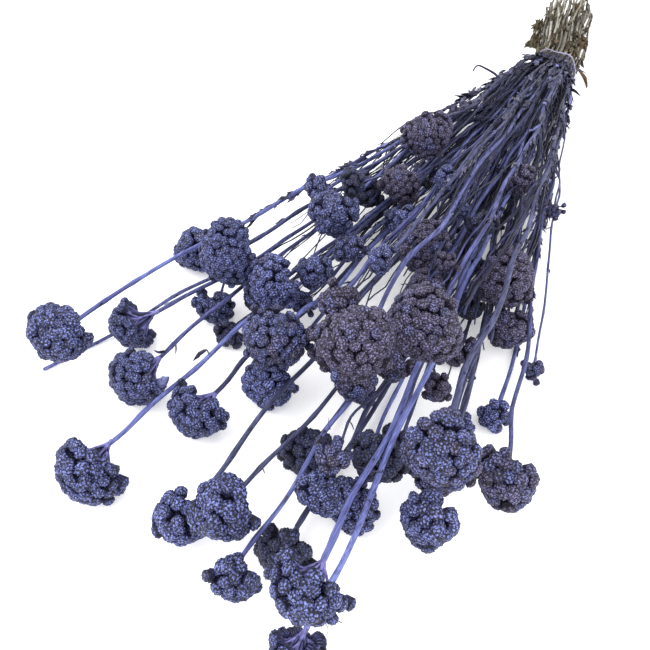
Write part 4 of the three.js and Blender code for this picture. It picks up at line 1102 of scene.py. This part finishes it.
def blade(spine, sideways, wide, curl, crumple, twist=0.0):
    """A thin ragged blade along a spine of points. curl: how far its edges roll up, twist: how far
    it turns from end to end, both in radians."""
    count = len(spine)
    along = directions(spine)
    share = np.linspace(0, 1, count)
    across = np.linspace(-1, 1, LEAF_ACROSS)
    profile = np.sin(math.pi * np.clip(share * 0.93 + 0.05, 0, 1) ** 0.8) * wide / 2 + wide * 0.03
    upper = []
    lower = []
    for k in range(count):
        side = unit(sideways - along[k] * (sideways @ along[k]))
        up = np.cross(along[k], side)
        roll = twist * (share[k] - 0.5)
        side, up = side * math.cos(roll) + up * math.sin(roll), up * math.cos(roll) - side * math.sin(roll)
        torn = draws.uniform(-LEAF_RAGGED, LEAF_RAGGED, LEAF_ACROSS) * (np.abs(across) > 0.9)
        ragged = profile[k] * (1 + torn)
        turn = across * curl * (0.6 + 0.4 * share[k])
        out = np.sin(turn) / max(curl, 0.01) if curl > 0.01 else across
        rise = (1 - np.cos(turn)) / max(curl, 0.01)
        dent = draws.normal(0, crumple, LEAF_ACROSS) * math.sin(math.pi * min(share[k] + 0.12, 1))
        row = spine[k] + np.outer(out * ragged, side) + np.outer(rise * ragged + dent, up)
        upper.append(row + up * LEAF_THICK / 2)
        lower.append(row - up * LEAF_THICK / 2)
    corners = np.vstack([*upper, *lower])
    top = np.arange(count * LEAF_ACROSS).reshape(count, LEAF_ACROSS)
    under = top + count * LEAF_ACROSS
    sheet = np.stack([top[:-1, :-1], top[1:, :-1], top[1:, 1:], top[:-1, 1:]], axis=-1)
    back = np.stack([under[:-1, :-1], under[:-1, 1:], under[1:, 1:], under[1:, :-1]], axis=-1)
    edge = np.concatenate([top[0, :], top[1:, -1], top[-1, -2::-1], top[-2:0:-1, 0]])
    following = np.roll(edge, -1)
    rim = np.stack([edge, following, following + count * LEAF_ACROSS, edge + count * LEAF_ACROSS], axis=-1)
    return corners, [sheet.reshape(-1, 4), back.reshape(-1, 4), rim]


def add_leaf(x, turn, long, wide, tone, shade):
    """A leaf scrap that leaves one of the outer stalks at x and lies along it."""
    direction = np.array((0, math.cos(turn), math.sin(turn)))
    sideways = np.array((0, -direction[2], direction[1]))
    through = stalks_through(x)
    order = sorted(through, key=lambda other: through[other] @ direction, reverse=True)
    node = order[min(int(LEAF_LAYERS * draws.uniform() ** LAYER_THINNING), len(order) - 1)]
    drift = draws.uniform(-LEAF_DRIFT, LEAF_DRIFT) * long
    rise = draws.uniform(0.0, LEAF_RISE) * long
    spine = []
    for share in np.linspace(0, 1, LEAF_STATIONS):
        base = stalk_at(chains_of[node][0], x + long * share)
        out = 0.0004 + 0.0009 * min(share * 3, 1) + rise * share + draws.normal(0, 0.0003)
        spine.append(base + direction * out + sideways * (drift * share**1.3 + draws.normal(0, 0.0004)))
    curl = draws.uniform(*LEAF_CURLS)
    twist = draws.uniform(*LEAF_TWISTS)
    corners, faces = blade(np.array(spine), sideways, wide, curl, LEAF_CRUMPLE, twist)
    grow(node, corners, faces, "leaf", tone, shade=shade)


for _ in range(LEAF_COUNT):
    away = BAND_CLEAR + LEAF_REACH * draws.uniform() ** LEAF_THINNING
    near = 1 - away / LEAF_REACH
    long = draws.uniform(*LEAF_LONG) * (0.6 + 0.4 * near)
    wide = draws.uniform(*LEAF_WIDE) * (0.5 + 0.5 * near)
    x = band_middle.x + away
    if draws.uniform() < BUTT_SHARE:
        x = max(band_middle.x - away % BUTT_REACH - long - BAND_CLEAR, solid_box[0][0] + BUTT_MARGIN)
    turn = draws.uniform(0, 2 * math.pi)
    tone = draws.uniform(0, 1)
    add_leaf(x, turn, long, wide, tone, draws.uniform(*LEAF_SHADES))

for node, chains in chains_of.items():
    for chain in chains:
        for joint in chain["joints"]:
            if draws.uniform() > BRACT_SHARE or joint > chain["smooth"][-1, 0] - BRACT_MARGIN:
                continue
            foot = stalk_at(chain, joint)
            turn = draws.uniform(0, 2 * math.pi)
            outward = np.array((0, math.cos(turn), math.sin(turn)))
            long = draws.uniform(*BRACT_LONG)
            lean = draws.uniform(*BRACT_LEANS)
            tip = foot + outward * (0.0014 + long * math.sin(lean))
            tip = tip + np.array((long * math.cos(lean), 0, 0))
            spine = curve_between(foot + outward * 0.0008, (foot + tip) / 2 + outward * 0.0008, tip, 5)
            sideways = np.cross(outward, (1, 0, 0))
            corners, faces = blade(spine, sideways, BRACT_WIDE, BRACT_CURL, BRACT_CRUMPLE)
            grow(node, corners, faces, "leaf", draws.uniform(0, 1), shade=BRACT_SHADE)


def leaf_finish():
    """Crumpled dry leaf: grey violet where dyed, olive to dark brown where not."""
    material, tree, shader = new_finish("dried_leaf")
    place = object_place(tree)
    tone = own_value(tree, "tone")
    mottle = noise(tree, place, *LEAF_NOISE)
    dark, grey, pale, olive, brown = (
        mix_colours(tree, range_of(tree, mottle, *MOST_NOISE), *colours)
        for colours in (LEAF_DARK, LEAF_GREY, LEAF_PALE, LEAF_OLIVE, LEAF_BROWN)
    )
    dyed = mix_colours(tree, range_of(tree, tone, *DARK_TO_GREY), dark, grey)
    dyed = mix_colours(tree, range_of(tree, tone, *GREY_TO_PALE), dyed, pale)
    undyed = mix_colours(tree, range_of(tree, tone, *OLIVE_TO_BROWN), olive, brown)
    set_inputs(tree, shader, {
        "Base Color": shaded(tree, mix_colours(tree, dyed_share(tree, place), undyed, dyed)),
        "Roughness": 0.75,
        "Specular IOR Level": 0.2,
        "Normal": bump_from(tree, mottle, strength=0.8, distance=0.0006),
    })
    return material


finishes["leaf"] = leaf_finish()

# The stray ends. Torn leaves, hooked twigs and hair-thin fibres stand off the bunch where the photo
# shows them; each leaves the stalk beside it and goes through the pixels that are named with it.
STRAY_LIFT = 0.0025           # how far in front of its stalk a stray end lies
HIDDEN_COST = 0.05            # metres beside the sight line that a metre of depth counts for
TUFT_TURN = 1.2               # radians to each side, of the blades of a tuft
TUFT_BLADE = (0.6, 2.2)       # length of each, of its tuft's, and how many times narrower each is
TUFT_SPREAD = 0.15            # of its width
STRAY_CRUMPLE = 0.0007
STRAY_CURLS = (1.0, 2.4)      # radians
STRAY_TWISTS = (-1, 1.5)
STRAY_SHADES = (0.75, 1.1)
NECK_RADIUS = 0.0005
FIBRE_POINTS = 14
FIBRE_TAPER = (0.55, 0.3)     # radius, of the fibre's thickness

STRAY_LEAVES = {
    "brown leaf that hangs": {
        "through": ((578, 69), (586, 74), (587, 82), (586, 91)), "wide": 0.0085, "tone": 0.95,
    },
    "its brown neck": {"through": ((572, 64), (578, 69), (586, 73)), "wide": 0.004, "tone": 0.9},
    "pink tuft": {"through": ((566, 62), (570, 70), (575, 77)), "wide": 0.009, "tone": 0.8, "blades": 5},
    "dark leaf at the top": {"through": ((586, 0), (577, 6), (568, 17)), "wide": 0.012, "tone": 0.98},
    "olive leaf on top": {"through": ((567, 17), (564, 26), (558, 36)), "wide": 0.012, "tone": 0.1},
    "ochre lump": {"through": ((577, 34), (584, 42), (578, 54)), "wide": 0.016, "tone": 0.55, "blades": 9},
    "brown fold over the band": {"through": ((570, 40), (566, 50), (560, 58)), "wide": 0.009, "tone": 0.85},
    "olive lump": {"through": ((540, 32), (531, 40), (532, 52)), "wide": 0.018, "tone": 0.05, "blades": 12},
    "grey lump": {"through": ((545, 14), (539, 26), (535, 38)), "wide": 0.014, "tone": 0.35, "blades": 9},
    "point on the right": {"through": ((583, 31), (586, 28), (591, 26)), "wide": 0.004, "tone": 0.7},
    "right tip under the band": {"through": ((561, 74), (562, 80), (563, 88)), "wide": 0.005, "tone": 0.4},
    "right triangle": {"through": ((560, 88), (562, 96), (567, 104)), "wide": 0.007, "tone": 0.2},
    "right roll": {"through": ((560, 116), (562, 128), (560, 138)), "wide": 0.006, "tone": 0.3},
    "left tuft": {"through": ((510, 76), (503, 73), (497, 75)), "wide": 0.010, "tone": 0.5, "blades": 6},
    "left lump": {"through": ((493, 88), (488, 86), (483, 88)), "wide": 0.009, "tone": 0.5, "blades": 5},
    "left curl": {"through": ((481, 95), (474, 93), (467, 90)), "wide": 0.009, "tone": 0.5, "blades": 5},
    "left leaf": {"through": ((472, 101), (464, 101), (455, 105)), "wide": 0.010, "tone": 0.5, "blades": 6},
    "left scrap": {
        "through": ((462, 106), (452, 109), (443, 113)), "wide": 0.010, "tone": 0.45, "blades": 6,
    },
    "blue tuft": {"through": ((504, 96), (507, 104), (510, 112)), "wide": 0.007, "tone": 0.97, "blades": 4},
    "pale fold": {"through": ((517, 92), (524, 98), (533, 92)), "wide": 0.004, "tone": 0.93},
    "round leaf at the right": {
        "through": ((548, 158), (550, 164), (552, 172)), "wide": 0.008, "tone": 0.2,
    },
    "scrap of the long stalk": {
        "through": ((207, 350), (200, 352), (193, 361)), "wide": 0.005, "tone": 0.2,
    },
    "scrap above the third head": {
        "through": ((166, 351), (158, 353), (154, 350)), "wide": 0.003, "tone": 0.2,
    },
    "bright leaf at the third head": {
        "through": ((154, 384), (161, 383), (169, 377)), "wide": 0.009, "tone": 0.97,
    },
    "stub at the joint": {"through": ((287, 496), (284, 500), (283, 503)), "wide": 0.0025, "tone": 0.5},
}

STRAY_FIBRES = {
    "loop twig": {"through": ((496, 74), (485, 68), (477, 64), (473, 71)), "thick": 0.0024},
    "arched fibre": {
        "through": ((436, 110), (418, 117), (400, 127), (389, 137), (377, 147)), "thick": 0.0017,
    },
    "fibre across": {"through": ((509, 125), (500, 119), (488, 118), (474, 115)), "thick": 0.0007},
    "fibre in the middle": {"through": ((470, 290), (458, 294), (444, 293)), "thick": 0.0006},
    "fibre under it": {"through": ((478, 257), (466, 262), (457, 267)), "thick": 0.0006},
    "curl on the bare stalk": {"through": ((125, 344), (130, 349), (132, 352)), "thick": 0.0005},
    "curl of the third stalk": {"through": ((172, 350), (174, 343), (169, 341)), "thick": 0.0005},
    "hook above the middle": {"through": ((331, 430), (328, 424), (329, 417)), "thick": 0.0005},
    "hook at the last head": {"through": ((325, 622), (329, 630), (326, 636)), "thick": 0.0005},
    "loose end at the last head": {"through": ((331, 612), (335, 619), (342, 623)), "thick": 0.0008},
    "fibre at the foreground": {"through": ((372, 502), (366, 499), (361, 496)), "thick": 0.0006},
    "twig across the stalks": {"through": ((383, 473), (370, 470), (356, 466)), "thick": 0.0013},
    "twig on its right": {"through": ((417, 466), (406, 471), (394, 471)), "thick": 0.0011},
    "spike on the left edge": {"through": ((372, 156), (368, 152), (367, 148)), "thick": 0.0006},
}


def sight_line(pixel):
    ray = onward * FOCAL_PIXELS + rightward * (pixel[0] - PICTURE / 2) - upward * (pixel[1] - PICTURE / 2)
    return np.array(ray.normalized())


def beside_stalk(pixel):
    """The stalk that the sight line at a pixel passes closest to, its point there and its depth."""
    line = sight_line(pixel)
    best = None
    for node, chains in chains_of.items():
        for chain in chains:
            offsets = chain["smooth"] - np.array(eye)
            depths = offsets @ line
            misses = np.linalg.norm(offsets - depths[:, None] * line, axis=1)
            scores = misses + HIDDEN_COST * depths
            k = int(np.argmin(scores))
            if best is None or scores[k] < best[0]:
                best = (scores[k], node, chain["smooth"][k], offsets[k] @ np.array(onward))
    return best[1:]


def through_pixels(pixels):
    """The stalk that carries a stray end, and the points of its way from the stalk on."""
    node, foot, depth = beside_stalk(pixels[0])
    points = [foot]
    for pixel in pixels:
        line = sight_line(pixel)
        points.append(np.array(eye) + line * ((depth - STRAY_LIFT) / (line @ np.array(onward))))
    return node, np.array(points)


def eased(points, count):
    """Evenly shared points on the polyline, with its corners rounded."""
    legs = np.concatenate([[0], np.cumsum(np.linalg.norm(np.diff(points, axis=0), axis=1))])
    at = np.linspace(0, legs[-1], count)
    path = np.stack([np.interp(at, legs, points[:, axis]) for axis in range(3)], axis=1)
    for _ in range(2):
        soften(path)
    return path


for stray in STRAY_LEAVES.values():
    node, points = through_pixels(stray["through"])
    blades = stray.get("blades", 1)
    for k in range(blades):
        spine = eased(points[1:], LEAF_STATIONS)
        if blades > 1:
            middle = spine.mean(axis=0)
            turned = np.array(Matrix.Rotation(draws.uniform(-TUFT_TURN, TUFT_TURN), 3, onward))
            spread = draws.normal(0, TUFT_SPREAD * stray["wide"], 3)
            spine = middle + (spine - middle) @ turned.T * TUFT_BLADE[0] + spread
        wide = stray["wide"] / (1 if blades == 1 else TUFT_BLADE[1])
        sideways = np.cross(onward, spine[-1] - spine[0])
        curl = draws.uniform(*STRAY_CURLS)
        twist = draws.uniform(*STRAY_TWISTS)
        corners, faces = blade(spine, sideways, wide, curl, STRAY_CRUMPLE, twist)
        grow(node, corners, faces, "leaf", stray["tone"], shade=draws.uniform(*STRAY_SHADES))
    neck = eased(points[:2], 4)
    grow(node, *tube(neck, np.full(4, NECK_RADIUS), 5), "leaf", stray["tone"])

for stray in STRAY_FIBRES.values():
    node, points = through_pixels(stray["through"])
    path = eased(points, FIBRE_POINTS)
    radii = np.linspace(*FIBRE_TAPER, FIBRE_POINTS) * stray["thick"]
    grow(node, *tube(path, radii, 5), "stem", draws.uniform(0, 1))

# The stalks put together. Stem, side shoots, clusters and leaves grew as one, so each stalk is one
# piece, of dry wood, florets and leaf.
def joined_mesh(name, parts, materials):
    """One mesh of many parts, each with its own finish, tone, depth, tip, shade and own places."""
    starts = np.cumsum([0] + [len(part["points"]) for part in parts])
    kinds = list(materials)
    mesh = bpy.data.meshes.new(name)
    for material in materials.values():
        mesh.materials.append(material)
    mesh.vertices.add(int(starts[-1]))
    mesh.vertices.foreach_set("co", np.concatenate([part["points"] for part in parts]).ravel())
    rows = []
    slots = []
    for part, start in zip(parts, starts):
        for faces in part["faces"]:
            rows.append(faces + start)
            slots.append(np.full(len(faces), kinds.index(part["finish"])))
    sizes = np.concatenate([np.full(len(faces), faces.shape[1]) for faces in rows])
    mesh.loops.add(int(sizes.sum()))
    mesh.loops.foreach_set("vertex_index", np.concatenate([faces.ravel() for faces in rows]))
    mesh.polygons.add(len(sizes))
    mesh.polygons.foreach_set("loop_start", np.concatenate([[0], np.cumsum(sizes)[:-1]]))
    mesh.polygons.foreach_set("material_index", np.concatenate(slots))
    mesh.polygons.foreach_set("use_smooth", np.ones(len(sizes), dtype=bool))
    for value in ("tone", "depth", "tip", "shade"):
        layer = mesh.attributes.new(value, "FLOAT", "POINT")
        layer.data.foreach_set("value", np.concatenate([part[value] for part in parts]))
    layer = mesh.attributes.new("own", "FLOAT_VECTOR", "POINT")
    layer.data.foreach_set("vector", np.concatenate([part["own"] for part in parts]).ravel())
    mesh.update()
    mesh.validate()
    return mesh


for node, parts in grown.items():
    piece = bpy.data.objects.new(f"{node}_dried", joined_mesh(node, parts, finishes))
    bpy.context.collection.objects.link(piece)
    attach(piece, "root")
    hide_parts(node)

# The band. A narrow pale lilac rubber band goes twice round the bundle, pressed flat against the
# stalks; its two turns lie side by side and cross once.
BAND_STRAND = 0.0007          # width of one turn
BAND_THICK = 0.0005
BAND_ROUNDING = 0.22          # radians over which the band bridges the gaps between stalks
BAND_INSET = 0.00125          # from the outside of the solid to the stalks
BAND_BEVEL = 0.15             # how much narrower a turn is outside
BAND_OFFSET = 0.0006          # of each turn from the band's middle
BAND_STEPS = 168
BAND_CROSSING = math.radians(118)
BAND_CROSSING_WIDE = 0.16
BAND_NEAR = 0.0013            # corners of the solid this near its middle are its outline
BAND_LILAC = ((0.17, 0.16, 0.27), (0.40, 0.38, 0.54))        # mottled
BAND_NOISE = (260.0, 3.0)     # scale and detail

band_corners, _ = solid_corners("band")
outer_corners = band_corners[np.abs(band_corners[:, 0] - band_middle.x) < BAND_NEAR, 1:]
outer_corners = outer_corners - (band_middle.y, band_middle.z)
corner_turns = np.arctan2(outer_corners[:, 1], outer_corners[:, 0])


def band_strand(offset):
    """One turn of the band as a flat strap round the bundle, at an offset along the stalks."""
    corners = []
    for k in range(BAND_STEPS):
        turn = 2 * math.pi * k / BAND_STEPS
        nearby = turn + np.linspace(-BAND_ROUNDING, BAND_ROUNDING, 9)
        outside = np.array([
            np.interp(nearby, corner_turns, outer_corners[:, axis], period=2 * math.pi).mean()
            for axis in range(2)
        ])
        direction = unit(outside)
        cross = math.exp(-((turn - BAND_CROSSING) / BAND_CROSSING_WIDE) ** 2) if offset > 0 else 0
        x = band_middle.x + offset * (1 - 2 * cross)
        inside = outside - direction * (BAND_INSET - BAND_THICK * cross)
        for side, out in ((-1, 0), (1, 0), (1, 1), (-1, 1)):
            y, z = inside + direction * out * BAND_THICK
            edge_x = x + side * BAND_STRAND / 2 * (1 - BAND_BEVEL * out)
            corners.append((edge_x, band_middle.y + y, max(band_middle.z + z, 0)))
    ring = ring_faces(BAND_STEPS + 1, 4) % (BAND_STEPS * 4)
    return np.array(corners), [ring]


def band_finish():
    """Thin pale lilac rubber, a little glossy."""
    material, tree, shader = new_finish("band_rubber")
    mottle = noise(tree, object_place(tree), *BAND_NOISE)
    set_inputs(tree, shader, {
        "Base Color": mix_colours(tree, range_of(tree, mottle, *MOST_NOISE), *BAND_LILAC),
        "Roughness": range_of(tree, mottle, 0.3, 0.7, 0.3, 0.5),
        "Normal": bump_from(tree, mottle, strength=0.3, distance=0.0002),
    })
    return material


strands = [mesh_part(*band_strand(offset), "rubber") for offset in (-BAND_OFFSET, BAND_OFFSET)]
band_mesh = joined_mesh("band", strands, {"rubber": band_finish()})
band_piece = bpy.data.objects.new("band_strap", band_mesh)
bpy.context.collection.objects.link(band_piece)
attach(band_piece, "root")
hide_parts("band")

# The scene brought up to date.
bpy.context.view_layer.update()
